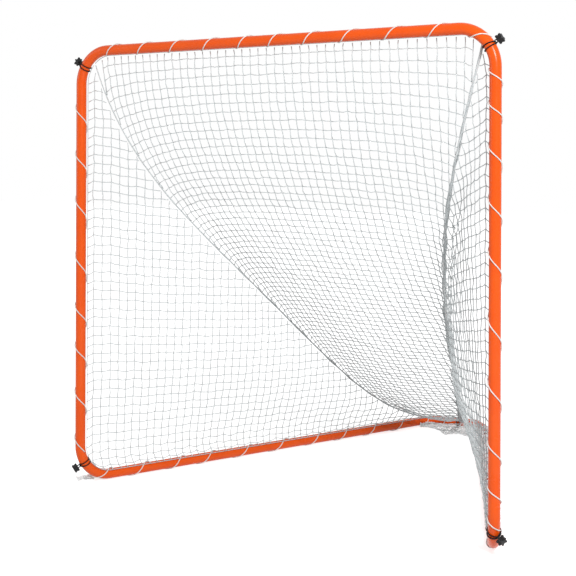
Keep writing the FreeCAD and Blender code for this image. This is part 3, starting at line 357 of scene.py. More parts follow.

# %% [markdown]
# ### White polyester twine and cord
#
# The net and the lacing are twisted white polyester. Seen close, each cord is a spiral of
# strands with a soft sheen. The strands are slanted bands across the cord's own UV map,
# whose second number is the distance along it in metres, with painted shade in the grooves
# between them. Single net twines are a light grey, painted shade, and the gathered net near
# white, painted light.


# %% White twine and cord
def twisted_cord(name, pale, shade, lay, strands):
    """Strands across the UV map: a sine of (turns round the cord + distance / lay), with painted
    shade in the grooves.
    """
    finish, tree = new_finish(name)
    uv = add_node(tree, "SeparateXYZ", {"Vector": add_node(tree, "UVMap", uv_map="along_cord")})
    along = add_node(tree, "Math", {0: uv.outputs["Y"], 1: 1 / lay}, operation="MULTIPLY")
    turns = add_node(tree, "Math", {0: uv.outputs["X"], 1: along}, operation="ADD")
    phase = add_node(tree, "Math", {0: turns, 1: 2 * np.pi * strands}, operation="MULTIPLY")
    wave = add_node(tree, "Math", {0: phase}, operation="SINE")
    # Painted shade: in the grooves between the strands the colour falls to the shade colour.
    groove = add_node(tree, "MapRange", {"Value": wave, "From Min": -1.0, "From Max": 0.2})
    groove_shade = {"Factor": groove, "A": linear(shade), "B": linear(pale)}
    # Handling leaves the white a little grey in patches of about 90 mm, towards the same shade colour
    # that is painted in the grooves.
    place = add_node(tree, "TexCoord").outputs["Object"]
    soil = add_node(tree, "TexNoise", {"Vector": place, "Scale": 1 / (90 * MM), "Detail": 4.0})
    amount = add_node(
        tree, "MapRange", {"Value": soil, "From Min": 0.45, "From Max": 0.8, "To Max": 0.35}
    )
    tone = add_node(tree, "Mix", groove_shade, data_type="RGBA")
    soiled = {"Factor": amount, "A": tone, "B": linear(shade)}
    return close_finish(finish, "BsdfPrincipled", {
        "Base Color": add_node(tree, "Mix", soiled, data_type="RGBA"),
        "Roughness": 0.78,
        "Sheen Weight": 0.25,
        "Sheen Roughness": 0.5,
        "Normal": add_node(tree, "Bump", {"Height": wave, "Strength": 0.5, "Distance": 0.4 * MM}),
    })


TWINE_LAY = 8 * MM
LACING_LAY = 16 * MM
# The same white twine in two colours: a single twine is a light grey, painted shade for the little
# light a thin twine gets, and the gathered net is near white, painted light that lifts the shade of
# its dense folds.
NET_TWINE_PAINTED_SHADE = twisted_cord("twisted_polyester_twine_painted_shade", "#DADFE0", "#B5BCBE", TWINE_LAY, 3)
GATHERED_TWINE_PAINTED_LIGHT = twisted_cord("gathered_polyester_net_painted_light", "#FBFCFC", "#E9EDEE", TWINE_LAY, 3)
LACING_CORD = twisted_cord("laid_polyester_cord", "#F2F1EE", "#BDBBB6", LACING_LAY, 3)

# %% [markdown]
# ### Black elastic and black plastic
#
# The ties are rubber cord in a woven black cover, whose crossing threads read as a fine
# check. The toggles are moulded polypropylene with a lightly blasted grain.


# %% Black elastic and black plastic
def woven_elastic():
    """Two families of threads that cross on the UV map, their product a fine check."""
    finish, tree = new_finish("woven_elastic_cord")
    uv = add_node(tree, "SeparateXYZ", {"Vector": add_node(tree, "UVMap", uv_map="along_cord")})
    # The cover's threads cross every 1.6 mm, twice as coarse as life, so that they show.
    along = add_node(
        tree, "Math", {0: uv.outputs["Y"], 1: np.pi / (1.6 * MM)}, operation="MULTIPLY"
    )
    around = add_node(tree, "Math", {0: uv.outputs["X"], 1: 8 * np.pi}, operation="MULTIPLY")
    families = []
    for operation in ("ADD", "SUBTRACT"):
        phase = add_node(tree, "Math", {0: along, 1: around}, operation=operation)
        families.append(add_node(tree, "Math", {0: phase}, operation="SINE"))
    check = add_node(tree, "Math", {0: families[0], 1: families[1]}, operation="MULTIPLY")
    shade = add_node(tree, "MapRange", {"Value": check, "From Min": -1.0})
    blacks = {"Factor": shade, "A": linear("#08080A"), "B": linear("#1A1A1D")}
    return close_finish(finish, "BsdfPrincipled", {
        "Base Color": add_node(tree, "Mix", blacks, data_type="RGBA"),
        "Roughness": 0.8,
        "Specular IOR Level": 0.2,
        "Normal": add_node(tree, "Bump", {"Height": check, "Strength": 0.6, "Distance": 0.3 * MM}),
    })


def moulded_plastic():
    """Near-black plastic with a blasted grain of about 0.8 mm and slightly polished highs."""
    finish, tree = new_finish("moulded_polypropylene")
    place = add_node(tree, "TexCoord").outputs["Object"]
    grain, handling = (
        add_node(tree, "TexNoise", {"Vector": place, "Scale": 1 / size, "Detail": detail})
        for size, detail in ((0.8 * MM, 2.0), (12 * MM, 3.0))
    )
    blacks = {"Factor": handling, "A": linear("#0A0A0C"), "B": linear("#161618")}
    roughness = add_node(
        tree, "MapRange",
        {"Value": handling, "From Min": 0.3, "From Max": 0.7, "To Min": 0.36, "To Max": 0.55},
    )
    return close_finish(finish, "BsdfPrincipled", {
        "Base Color": add_node(tree, "Mix", blacks, data_type="RGBA"),
        "Roughness": roughness,
        "Normal": add_node(tree, "Bump", {"Height": grain, "Strength": 0.25, "Distance": 0.2 * MM}),
        "IOR": 1.49,
        "Specular IOR Level": 0.3,
    })


ELASTIC = woven_elastic()
PLASTIC = moulded_plastic()

# %% [markdown]
# ## Finishes on the construction nodes
#
# The tubes, buttons and springs have their right shapes already, so they only take their
# finish. The soft nodes are replaced further down, and get a finish as well in case one is
# ever shown.

# %% Finish each construction node
FINISH_OF = {
    "button": ZINC_PLATE,
    "toggle": PLASTIC,
    "tie": ELASTIC,
    "net": NET_TWINE_PAINTED_SHADE,
    "lacing": LACING_CORD,
}
for name, node in nodes.items():
    node.data.materials.clear()
    node.data.materials.append(FINISH_OF.get(name.split("_")[0], POWDER_COAT))
print(f"{len(nodes)} construction nodes have their finish")

# %% [markdown]
# ## Cords carried along a path
#
# Lacing, ties and the net's edge cords are round cords. Each is a ring of points carried
# along a path. The ring's zero direction comes from a facing vector given with the path,
# such as the way out from the tube, so the ring never spins by itself.


# %% Cord mesh
def tube_faces(rings, sides):
    """Ring and turn of each quad's corners, the quads, and fans to the two points after them."""
    ring, turn = np.meshgrid(np.arange(rings - 1), np.arange(sides), indexing="ij")
    ring, turn = ring.reshape(-1, 1) + (0, 0, 1, 1), turn.reshape(-1, 1) + (0, 1, 1, 0)
    here = np.arange(sides)
    after, tip, last = (here + 1) % sides, np.full(sides, rings * sides), (rings - 1) * sides
    near = np.stack([tip, after, here], axis=-1)
    far = np.stack([tip + 1, last + here, last + after], axis=-1)
    return ring, turn, ring * sides + turn % sides, np.concatenate([near, far])


def cord_arrays(path, facing, radius, sides, strands=0, lay=1.0, relief=0.0):
    """A closed cord of radius r (1 - relief (1 - |cos(n (a - 2 pi s / lay) / 2)|)).

    s is the distance along it and a the angle round it. With no strands the cord is round.
    """
    out, across = side_frame(unit(np.gradient(path, axis=0)), facing)
    along = distances_along(path)
    angle = 2 * np.pi * np.arange(sides) / sides
    crest = np.abs(np.cos(strands * (angle - 2 * np.pi * along[:, None] / lay) / 2))
    reach = np.broadcast_to(radius, along.shape)[:, None] * (1 - relief * (1 - crest))
    rings = path[:, None] + reach[..., None] * turned(out[:, None], across[:, None], angle)
    vertices = np.concatenate([rings.reshape(-1, 3), path[:1], path[-1:]])
    ring, turn, quads, fans = tube_faces(len(path), sides)
    return vertices, quads, fans, np.stack([turn / sides, along[ring]], axis=-1)


def carried_cord(name, path, facing, radius, sides, **twist):
    """The mesh of one cord."""
    return mesh_from_arrays(name, *cord_arrays(path, facing, radius, sides, **twist))


# %% [markdown]
# ## Lacing
#
# One person pulled a white cord round each tube and through the edge of the net, so the
# turns are uneven. Where the cord crosses the open side it makes four tenths of the way
# between its neighbours, and behind the tube the rest. The places of the crossings are the
# same shares as in the construction model. The cord has three strands, made as relief in
# the mesh, because the twist shows on the bright orange.

# %% Lacing
SLANT_SHARE = 0.4
TURN_STEPS = 48
CORD_SIDES = 12
LACING_TWIST = dict(strands=3, lay=LACING_LAY, relief=0.22)
WINDING_R = TUBE_R + CORD_GAP + CORD_R
FACING_PLAYER = np.pi / 2
FACING_MIDDLE = {LEFT: -np.pi / 2, RIGHT: np.pi / 2}
BAR_START = RISE + TOP_BEND
FOOT_END = FOOT_DROP + FOOT_BEND


def lacing_path(route, first, last, shares, front_angle):
    """Points of a winding, and the ways out from the tube's axis.

    Over the half turn across the open side the cord moves evenly by the slant of that
    crossing; over the half turn behind the tube it moves evenly to the next crossing. It
    begins and ends at the sides of the tube.
    """
    crossings = first + (last - first) * np.array(shares)
    gaps = np.diff(crossings)
    slants = SLANT_SHARE * (np.append(gaps[0], gaps) + np.append(gaps, gaps[-1])) / 2
    turns = np.linspace(-0.25, len(gaps) + 0.25, TURN_STEPS * len(gaps) + TURN_STEPS // 2 + 1)
    nearest = np.clip(np.round(turns).astype(int), 0, len(gaps))
    past = turns - nearest
    in_front = crossings[nearest] + 2 * slants[nearest] * past
    before = np.clip(turns.astype(int), 0, len(gaps) - 1)
    leave = crossings[before] + slants[before] / 2
    arrive = crossings[before + 1] - slants[before + 1] / 2
    behind = leave + (arrive - leave) * 2 * (turns - before - 0.25)
    crosses = (np.abs(past) <= 0.25) | (turns < 0) | (turns > len(gaps))
    distance = np.where(crosses, in_front, behind)
    angle = front_angle - 2 * np.pi * turns
    path = wound(route, distance, angle, WINDING_R)
    return path, path - on_route(route, distance)[0]


def lacing(name, route, first, last, shares, front_angle):
    """A laid cord along a winding, standing for the construction node of the same name."""
    path, outwards = lacing_path(route, first, last, shares, front_angle)
    mesh = carried_cord(f"{name}_cord", path, outwards, CORD_R, CORD_SIDES, **LACING_TWIST)
    add_piece(mesh, LACING_CORD, "frame", [name])
    print(f"{name}: {distances_along(path)[-1]:.3f} m of cord")


POST_LEFT_CROSSINGS = (0, 0.14, 0.28, 0.4, 0.55, 0.72, 0.86, 1)
CROSSBAR_CROSSINGS = (0, 0.1, 0.2, 0.3, 0.4, 0.485, 0.58, 0.68, 0.79, 0.895, 1)
POST_RIGHT_CROSSINGS = (0, 0.075, 0.175, 0.295, 0.415, 0.565, 0.705, 0.835, 0.93, 1)
BASE_CROSSINGS = (0, 0.105, 0.215, 0.31, 0.43, 0.55, 0.675, 0.78, 0.89, 1)

# Distances of the first and last crossings from the feet, the bends and the rear joints.
LEFT_POST_FOOT, LEFT_POST_TOP, RIGHT_POST_FOOT = 181 * MM, 120 * MM, 128 * MM
PAST_BEND, INTO_BEND = 28 * MM, 88 * MM
INSIDE_FOOT, BEFORE_REAR = 38 * MM, 128 * MM
REAR_ENDS = np.array([REAR_STUB + 60 * MM, REAR_STUB + 165 * MM])

lacing(
    "lacing_post_left", MOUTH, LEFT_POST_FOOT, RISE - LEFT_POST_TOP,
    POST_LEFT_CROSSINGS, FACING_PLAYER,
)
lacing(
    "lacing_crossbar", MOUTH, BAR_START + PAST_BEND, BAR_START + SPAN + INTO_BEND,
    CROSSBAR_CROSSINGS, FACING_PLAYER,
)
lacing(
    "lacing_post_right", MOUTH, MOUTH_LENGTH - RISE + PAST_BEND, MOUTH_LENGTH - RIGHT_POST_FOOT,
    POST_RIGHT_CROSSINGS, FACING_PLAYER,
)
for side, word in SIDES:
    lacing(
        f"lacing_base_{word}", BASES[side], FOOT_END - INSIDE_FOOT, BASE_ROUTE_LENGTH - BEFORE_REAR,
        BASE_CROSSINGS, FACING_MIDDLE[side],
    )
    ends = REAR_ENDS if side == LEFT else REAR_LENGTH - REAR_ENDS[::-1]
    lacing(f"lacing_rear_{word}", REAR, *ends, (0, 1), np.pi)

# %% [markdown]
# ## Corner ties
#
# At each corner an elastic cord goes twice round the tube, and both its ends are held in a
# star toggle. The two turns lie side by side beyond the tube and come together at the
# toggle. When the toggle is pulled, only the short stretch between tube and toggle gets
# longer; here the cord is one fixed piece that rides on no body.

# %% Ties
TIE_HOLE = 5.2 * MM
TIE_SPREAD = 9 * MM
TIE_ROOT = 5 * MM
TOGGLE_GAP = 7 * MM
TIE_INSIDE = 14 * MM
TOGGLE_BASE = TUBE_R + CORD_GAP + CORD_D + TOGGLE_GAP
TIE_ANGLE = 32 / 90
TIE_PLACES = (
    ("top_left", MOUTH, RISE + TOP_BEND * TIE_ANGLE, 0),
    ("top_right", MOUTH, RISE + TOP_BEND + SPAN + TOP_BEND * (1 - TIE_ANGLE), 0),
    ("foot_left", BASES[LEFT], FOOT_DROP + FOOT_BEND * TIE_ANGLE, 15),
    ("foot_right", BASES[RIGHT], FOOT_DROP + FOOT_BEND * TIE_ANGLE, -35),
    ("rear", REAR, REAR_LENGTH / 2, 0),
)


def tie_frame(route, distance, roll):
    """Point on the tube's axis, heading, and the way out to the toggle."""
    point, heading, outer = (v[0] for v in on_route(route, np.array([distance])))
    return point, heading, turned(outer, np.cross(heading, outer), roll)


def root_arc(start, start_way, end, steps):
    """A quadratic curve that leaves the start along a way; its middle point lies on that way."""
    middle = start + start_way * np.linalg.norm(end - start) * 0.55
    t = np.linspace(0, 1, steps)[:, None]
    return start * (1 - t) ** 2 + middle * 2 * t * (1 - t) + end * t**2


def corner_tie(place, route, distance, roll):
    """Two turns of elastic round the tube, with both ends straight up into the toggle."""
    point, heading, way = tie_frame(route, distance, roll)
    rim = np.sqrt((WINDING_R + TIE_ROOT) ** 2 - TIE_ROOT**2)
    leave = np.arctan2(TIE_ROOT, rim)
    angle = leave + (4 * np.pi - 2 * leave) * np.linspace(0, 1, 129)
    shift = TIE_HOLE * np.cos(angle / 4) + (TIE_SPREAD - TIE_HOLE * np.sqrt(0.5)) * np.sin(angle / 2)
    turns = wound(route, distance + shift, roll + angle, WINDING_R)
    rise = np.linspace(TOGGLE_BASE + TIE_INSIDE, rim, 12)[:, None]
    first = point + heading * TIE_HOLE + way * rise
    last = point - heading * TIE_HOLE + way * rise[::-1]
    path = np.concatenate([
        first[:-1], root_arc(first[-1], -way, turns[0], 8)[:-1], turns,
        root_arc(last[0], -way, turns[-1], 8)[::-1][1:], last[1:],
    ])
    mesh = carried_cord(f"elastic_{place}", path, heading, CORD_R, CORD_SIDES)
    piece = add_piece(mesh, ELASTIC, None, [f"tie_{place}"])
    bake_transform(piece)
    print(f"elastic_{place}: {distances_along(path)[-1]:.3f} m of elastic")
    return point, heading, way


# %% [markdown]
# ## Star toggles
#
# Each toggle is a moulded block with five rounded points and a groove round its waist. It
# could be an extruded star with bevels, but a surface of two angles rounds every edge at
# once: one angle goes round the star, the other from the face near the tube to the far one.

# %% Toggles
TOGGLE_HALF = 11 * MM
TOGGLE_REACH = 18.5 * MM
TOGGLE_HUB = 10.5 * MM
TOGGLE_POINTS = 5
WAIST_DEPTH = 3 * MM
WAIST_HALF = 3.5 * MM


def toggle_mesh(name, base, across, way):
    """Radius = hub + (reach - hub) points(a), times a rounding that closes both faces.

    points(a) is 1 / (1 + (a / 0.26)^6) for the angle a from the nearest of five points, and
    the reach is 3 mm less over the 7 mm in the middle. The rounding is sin(b)^0.25 for an
    angle b from face to face, while the height follows cos(b)^0.25.
    """
    sides, rings = 100, 41
    a = 2 * np.pi * np.arange(sides) / sides
    b = np.pi * np.linspace(0.004, 0.996, rings)[:, None]
    height = TOGGLE_HALF * np.sign(np.cos(b)) * np.abs(np.cos(b)) ** 0.25
    spacing = 2 * np.pi / TOGGLE_POINTS
    off_point = np.abs((a + spacing / 2) % spacing - spacing / 2)
    points = 1 / (1 + (off_point / 0.26) ** 6)
    waist = 1 / (1 + (height / WAIST_HALF) ** 8)
    reach = TOGGLE_REACH - WAIST_DEPTH * waist
    radius = (TOGGLE_HUB + (reach - TOGGLE_HUB) * points) * np.sin(b) ** 0.25
    middle = base + way * TOGGLE_HALF
    spokes = turned(across, np.cross(way, across), a)
    grid = middle + way * height[..., None] + radius[..., None] * spokes
    ends = [middle + way * TOGGLE_HALF, middle - way * TOGGLE_HALF]
    # The rings run towards the tube, so the faces are turned over about their first corners.
    faces = tube_faces(rings, sides)[2:]
    quads, fans = (np.roll(part[:, ::-1], 1, axis=1) for part in faces)
    return mesh_from_arrays(name, np.concatenate([grid.reshape(-1, 3), ends]), quads, fans)


for place, route, distance, roll_degrees in TIE_PLACES:
    point, heading, way = corner_tie(place, route, distance, np.radians(roll_degrees))
    mesh = toggle_mesh(f"star_{place}", point + way * TOGGLE_BASE, heading, way)
    add_piece(mesh, PLASTIC, f"{place}_toggle", [f"toggle_{place}"])

# %% [markdown]
# ## The surfaces that the net hangs in
#
# Two seams run from the top corners to the rear corner. The back net spans between them
# from the crossbar, and a side net hangs under each. A simulation could drape the net, but
# the photograph fixes where the seams and edges lie, so each panel is a patch between its
# four edges, with a belly where the net is slack.

# %% Seams
EDGE_CORD_R = 1.6 * MM
NET_R = TUBE_R + CORD_GAP + CORD_D + EDGE_CORD_R
SEAM_R = 5.5 * MM
SEAM_GAP = 1.4 * MM
SEAM_BESIDE = 17 * MM
SEAM_SAG = 264 * MM
SEAM_DRAW_IN = 120 * MM
SEAM_EDGE = SEAM_R + 0.5 * MM
NET_LEAN = 3 * np.pi / 4


def on_mouth(distance):
    """The edge of a net beside a post or the crossbar."""
    return wound(MOUTH, distance, -NET_LEAN, NET_R)


def seam_ends(side):
    """Where a seam leaves the top corner and where it meets the rear corner."""
    distance = RISE + TOP_BEND / 2
    distance = distance if side == LEFT else MOUTH_LENGTH - distance
    reach = NET_R + SEAM_R + SEAM_GAP
    top = wound(MOUTH, np.array([distance]), -NET_LEAN, reach)[0]
    rear_distance = np.array([REAR_LENGTH / 2 + side * SEAM_BESIDE])
    return top, wound(REAR, rear_distance, NET_LEAN, reach)[0]


def seam_point(side, share):
    """A seam: its straight line, plus a sag of 1 - (2 s - 1)^4 and a pull of 6.75 s (1 - s)^2."""
    top, rear = seam_ends(side)
    line = unit(rear - top)
    inwards = unit(np.cross(line, (0, 0, -side)))
    down = unit(np.cross(inwards, line)) * side
    s = np.asarray(share, float)[..., None]
    sag = SEAM_SAG * (1 - (2 * s - 1) ** 4)
    pull = SEAM_DRAW_IN * 6.75 * s * (1 - s) ** 2
    return top + (rear - top) * s + inwards * pull + down * sag


def beside_seam(side, share, aim):
    """The edge of a net beside a seam, on the side where the aim lies, square to the seam."""
    share = np.asarray(share, float)
    way = unit(seam_point(side, share + 1e-4) - seam_point(side, share - 1e-4))
    point = seam_point(side, share)
    return point + side_frame(way, aim - point)[0] * SEAM_EDGE


for side, word in SIDES:
    seam_line = np.subtract(*seam_ends(side))
    print(f"seam_{word}: {np.linalg.norm(seam_line):.3f} m in a straight line")


# %% Panels
HALF_REAR_BEND = REAR_BEND_R * (QUARTER - BASE_ANGLE)
BASE_EDGE_END = BASE_ROUTE_LENGTH + HALF_REAR_BEND - 2.5 * SEAM_BESIDE
BACK_BELLY, SIDE_BELLY = 60 * MM, 45 * MM
INWARDS = {side: np.array([-side * np.cos(BASE_ANGLE), -np.sin(BASE_ANGLE), 0]) for side, _ in SIDES}


def on_base(side, share):
    """The edge of a side net beside the base bar, from the foot's bend to the rear corner."""
    distance = FOOT_DROP + (BASE_EDGE_END - FOOT_DROP) * np.asarray(share, float)
    rear_distance = REAR_STUB + distance - BASE_ROUTE_LENGTH
    rear_distance = rear_distance if side == LEFT else REAR_LENGTH - rear_distance
    beside_bar = wound(BASES[side], distance, side * NET_LEAN, NET_R)
    beside_rear = wound(REAR, rear_distance, NET_LEAN, NET_R)
    return np.where((distance <= BASE_ROUTE_LENGTH)[..., None], beside_bar, beside_rear)


def patch(edges, share, across):
    """Blend of the long edges, plus blend of the cross edges, less what both hold."""
    first, second, near, far = edges
    s, t = share[..., None], across[..., None]
    zero, one = np.zeros_like(across), np.ones_like(across)
    long_blend = first(share) * (1 - t) + second(share) * t
    cross_blend = near(across) * (1 - s) + far(across) * s
    near_ends = near(zero) * (1 - t) + near(one) * t
    far_ends = far(zero) * (1 - t) + far(one) * t
    return long_blend + cross_blend - near_ends * (1 - s) - far_ends * s


BACK_START = RISE + TOP_BEND / 2 + SEAM_EDGE
BACK_END = MOUTH_LENGTH - BACK_START
BACK_REAR = {side: beside_seam(side, 1.0, seam_point(-side, 1.0)) for side in (LEFT, RIGHT)}
BACK_EDGES = (
    lambda s: beside_seam(LEFT, s, seam_point(RIGHT, s)),
    lambda s: beside_seam(RIGHT, s, seam_point(LEFT, s)),
    lambda t: on_mouth(BACK_START + (BACK_END - BACK_START) * t),
    lambda t: BACK_REAR[LEFT] * (1 - t[..., None]) + BACK_REAR[RIGHT] * t[..., None],
)


def back_surface(share, across):
    """The back net's patch with a belly of 60 mm, down and towards the mouth."""
    belly = BACK_BELLY * np.sin(np.pi * share) * np.sin(np.pi * across)
    return patch(BACK_EDGES, share, across) + unit(np.array([0, -1.0, -1.0])) * belly[..., None]


def side_edges(side):
    """The four edges of a side net: seam, base bar, post and rear corner."""
    top = RISE + TOP_BEND / 2 - SEAM_EDGE
    foot = BASE_Z + FOOT_BEND_R
    apex = beside_seam(side, 1.0, on_base(side, 1.0))
    base_end = on_base(side, 1.0)

    def post(across):
        distance = top + (foot - top) * across
        return on_mouth(distance if side == LEFT else MOUTH_LENGTH - distance)

    return (
        lambda s: beside_seam(side, s, on_base(side, s)),
        lambda s: on_base(side, s),
        post,
        lambda t: apex * (1 - t[..., None]) + base_end * t[..., None],
    )


SIDE_EDGES = {side: side_edges(side) for side, _ in SIDES}


def side_surface(side, share, across):
    """A side net's patch with a belly of 45 mm towards the middle."""
    belly = SIDE_BELLY * np.sin(np.pi * share) * np.sin(np.pi * across)
    return patch(SIDE_EDGES[side], share, across) + INWARDS[side] * belly[..., None]


# %% [markdown]
# ## Twine from knot to knot
#
# A net is thousands of short twines, so each is a tube of five sides with a ring at both
# knots and one in the middle, which sags a little. Every knot is a small ball of twenty
# faces. Both are made for all places at once, as arrays.

# %% Twines and knots
TWINE_R = 1.75 * MM
TWINE_SIDES = 5
KNOT_R = 3.0 * MM
MESH = 37 * MM
KNOT_DRIFT = 1.3 * MM
SHORTEST_TWINE = 2 * MM
TWINE_DRIFT = 1.1 * MM
TWINE_SAG = 0.8 * MM
# The last knot before a seam is at least this share of a mesh away from it.
SEAM_MARGIN = 0.3
chance = np.random.default_rng(20)


def twine_arrays(starts, ends, facing, slack):
    """Rings round each twine at its ends and middle; the middle is moved by the slack."""
    out, across = side_frame(unit(ends - starts), facing)
    centres = np.stack([starts, (starts + ends) / 2 + slack, ends], axis=1)
    angle = 2 * np.pi * np.arange(TWINE_SIDES) / TWINE_SIDES
    spokes = turned(out[:, None], across[:, None], angle)
    rings = (centres[:, :, None] + TWINE_R * spokes[:, None]).reshape(len(starts), -1, 3)
    vertices = np.concatenate([rings, starts[:, None], ends[:, None]], axis=1)
    ring, turn, quads, fans = tube_faces(3, TWINE_SIDES)
    offsets = np.arange(len(starts))[:, None, None] * vertices.shape[1]
    along = ring * np.linalg.norm(ends - starts, axis=1)[:, None, None] / 2
    uvs = np.stack([np.broadcast_to(turn / TWINE_SIDES, along.shape), along], axis=-1)
    all_quads, caps = (quads + offsets).reshape(-1, 4), (fans + offsets).reshape(-1, 3)
    return vertices.reshape(-1, 3), all_quads, caps, uvs.reshape(-1, 4, 2)


GOLDEN = (1 + 5**0.5) / 2
NET_FACING = np.array([0, 0.68, 0.73])
BALL = unit(np.array([
    (-1, GOLDEN, 0), (1, GOLDEN, 0), (-1, -GOLDEN, 0), (1, -GOLDEN, 0),
    (0, -1, GOLDEN), (0, 1, GOLDEN), (0, -1, -GOLDEN), (0, 1, -GOLDEN),
    (GOLDEN, 0, -1), (GOLDEN, 0, 1), (-GOLDEN, 0, -1), (-GOLDEN, 0, 1),
]))
BALL_FACES = np.array([
    (0, 11, 5), (0, 5, 1), (0, 1, 7), (0, 7, 10), (0, 10, 11), (1, 5, 9), (5, 11, 4),
    (11, 10, 2), (10, 7, 6), (7, 1, 8), (3, 9, 4), (3, 4, 2), (3, 2, 6), (3, 6, 8),
    (3, 8, 9), (4, 9, 5), (2, 4, 11), (6, 2, 10), (8, 6, 7), (9, 8, 1),
])


def knot_arrays(places):
    """A ball of twenty faces at each place, each of a slightly different size."""
    sizes = KNOT_R * chance.uniform(0.85, 1.15, (len(places), 1, 1))
    vertices = places[:, None] + BALL * sizes
    faces = BALL_FACES + np.arange(len(places))[:, None, None] * len(BALL)
    return vertices.reshape(-1, 3), faces.reshape(-1, 3)


def net_panel(name, pairs, places, facing, finish, stands_for=()):
    """A piece of all of a net's twines and knots, without twines shorter than 2 mm."""
    starts, ends = (np.concatenate(side) for side in zip(*pairs))
    kept = np.linalg.norm(ends - starts, axis=1) > SHORTEST_TWINE
    starts, ends = starts[kept], ends[kept]
    slack = chance.normal(0, TWINE_DRIFT, starts.shape) + np.array([0, 0, -TWINE_SAG])
    vertices, quads, caps, uvs = twine_arrays(starts, ends, facing, slack)
    balls, ball_faces = knot_arrays(places)
    triangles = np.concatenate([caps, ball_faces + len(vertices)])
    mesh = mesh_from_arrays(name, np.concatenate([vertices, balls]), quads, triangles, uvs)
    add_piece(mesh, finish, "frame", stands_for)
    print(f"{name}: {len(starts)} twines, {len(places)} knots")


# %% [markdown]
# ## The back net
#
# The back net's columns run back from the crossbar and draw together a little with depth.
# The rows are counted down each column, in meshes that close up the same way, and both
# stop at the seams.


# %% Back net
def joined(valid, knots, axis):
    """Starts and ends of the twines between neighbouring knots along an axis."""
    before = [slice(None)] * 2
    behind = [slice(None)] * 2
    before[axis], behind[axis] = slice(None, -1), slice(1, None)
    both = valid[tuple(before)] & valid[tuple(behind)]
    return knots[tuple(before)][both], knots[tuple(behind)][both]


SEAM_PULL = {LEFT: 75 * MM, RIGHT: 90 * MM}
PULL_REACH = {LEFT: 170 * MM, RIGHT: 280 * MM}
COLUMN_CLOSING = 0.22
ROW_CLOSING = 0.27
FIRST_ROW = 26 * MM


def seam_pull(side, rows):
    """How far a seam draws the rows along: p (1 - exp(-r / 150 mm)) (1 + r / 1.6 m)."""
    return SEAM_PULL[side] * (1 - np.exp(-rows / (150 * MM))) * (1 + rows / 1.6)


def columns_of(lines, targets, keys):
    """Each line's places at the targets, or at its own, read off by its rising keys."""
    targets = np.broadcast_to(targets, (len(lines), np.shape(targets)[-1]))
    return np.stack([
        np.stack([np.interp(places, key, line[:, axis]) for axis in range(3)], axis=-1)
        for line, places, key in zip(lines, targets, keys)
    ])


def back_net():
    """Columns that start at x on the bar lie across at (x / X(s) + 1) / 2 at share s.

    X(s) is half the patch's width there over f(s), which falls from 1 to 0.78 half way down
    as the columns draw together. Knots lie m (1 - 0.27 min(n m / 2 m, 1)) apart, and the
    tight seams pull them along it by p exp(-g / reach), with g the distance to the seam.
    """
    samples = np.linspace(0, 1, 400)
    edge_places = back_surface(samples, np.ones_like(samples))
    drawn = 1 - COLUMN_CLOSING * 0.5 * (1 - np.cos(np.pi * np.minimum(samples / 0.5, 1)))
    half_width = edge_places[:, 0] / drawn
    columns = (np.arange(-25, 25) + 0.5) * MESH
    columns = columns[np.abs(columns) < half_width[0] - 4 * MM]
    reach = np.interp(-np.abs(columns), -half_width, samples)
    share = reach[:, None] * np.linspace(0, 1, 260)
    width = np.interp(share, samples, half_width)
    lines = back_surface(share, np.clip((columns[:, None] / width + 1) / 2, 0, 1))
    along = np.stack([distances_along(line) for line in lines])
    flat = np.arange(int(along.max() / MESH / (1 - ROW_CLOSING)) + 1) * MESH
    rows = FIRST_ROW - MESH + np.cumsum(MESH * (1 - ROW_CLOSING * np.minimum(flat / 2.0, 1)))
    nominal = columns_of(lines, rows, along)
    half_there = np.interp(nominal[..., 1], edge_places[:, 1], edge_places[:, 0])
    rows_here = rows
    for side, reach in PULL_REACH.items():
        gap = np.maximum(half_there - side * nominal[..., 0], 0)
        rows_here = rows_here + seam_pull(side, rows) * np.exp(-gap / reach)
    knots = columns_of(lines, rows_here, along) + chance.normal(0, KNOT_DRIFT, nominal.shape)
    ends = along[:, -1]
    valid = rows_here < ends[:, None] - SEAM_MARGIN * MESH
    pairs = [joined(valid, knots, axis) for axis in (0, 1)]
    index = np.flatnonzero(valid.any(axis=1))
    deepest = valid.sum(axis=1)[index] - 1
    pairs += [(lines[index, 0], knots[index, 0]), (knots[index, deepest], lines[index, -1])]
    # Each row runs on to the seam, to where a column of that row's length would end.
    live = np.flatnonzero(valid.any(axis=0))
    for side, _ in SIDES:
        outer = np.argmax(valid if side == LEFT else valid[::-1], axis=0)
        outer = outer if side == LEFT else len(columns) - 1 - outer
        half = columns * side >= 0
        order = np.argsort(ends[half])
        pulled = (rows + seam_pull(side, rows))[live]
        x_at_row = np.interp(pulled, ends[half][order], columns[half][order])
        seam_share = np.interp(-np.abs(x_at_row), -half_width, samples)
        edge = back_surface(seam_share, np.full(seam_share.shape, float(side > 0)))
        pairs.append((knots[outer[live], live], edge))
    net_panel("back_panel", pairs, knots[valid], NET_FACING, NET_TWINE_PAINTED_SHADE, ["net_back"])


back_net()

# %% [markdown]
# ## The side nets
#
# A side net starts at its post. Its rows leave the post nearly level, so a place on it is
# given by a height and by the distance along that level. Columns lie at equal distances,
# as on the flat net, and lean where the net turns inwards. The rows fan together towards
# the back, and the spare ones crowd above the base bar, where the meshes turn to hexagons.

# %% Levels of a side net
COLUMN_GAP = 36.5 * MM
LEVEL_LINES = 160
ROW_GAP = 39 * MM
FIRST_COLUMN = 26 * MM
FIRST_LEVEL = -60 * MM
BASE_MARGIN = 6 * MM
COLUMN_DRIFT = 1.5 * MM
FAN_REACH = 1.2
RUNG_DIP = 12 * MM
PILE = 22 * MM
ZIGZAG = 5 * MM
FOOT_SHIFT = 0.7
SHEET_STEP = 6 * MM
ROW_FAN = {LEFT: 0.13, RIGHT: 0.23}
FOLD_DEPTH = {LEFT: 3 * MM, RIGHT: 13 * MM}


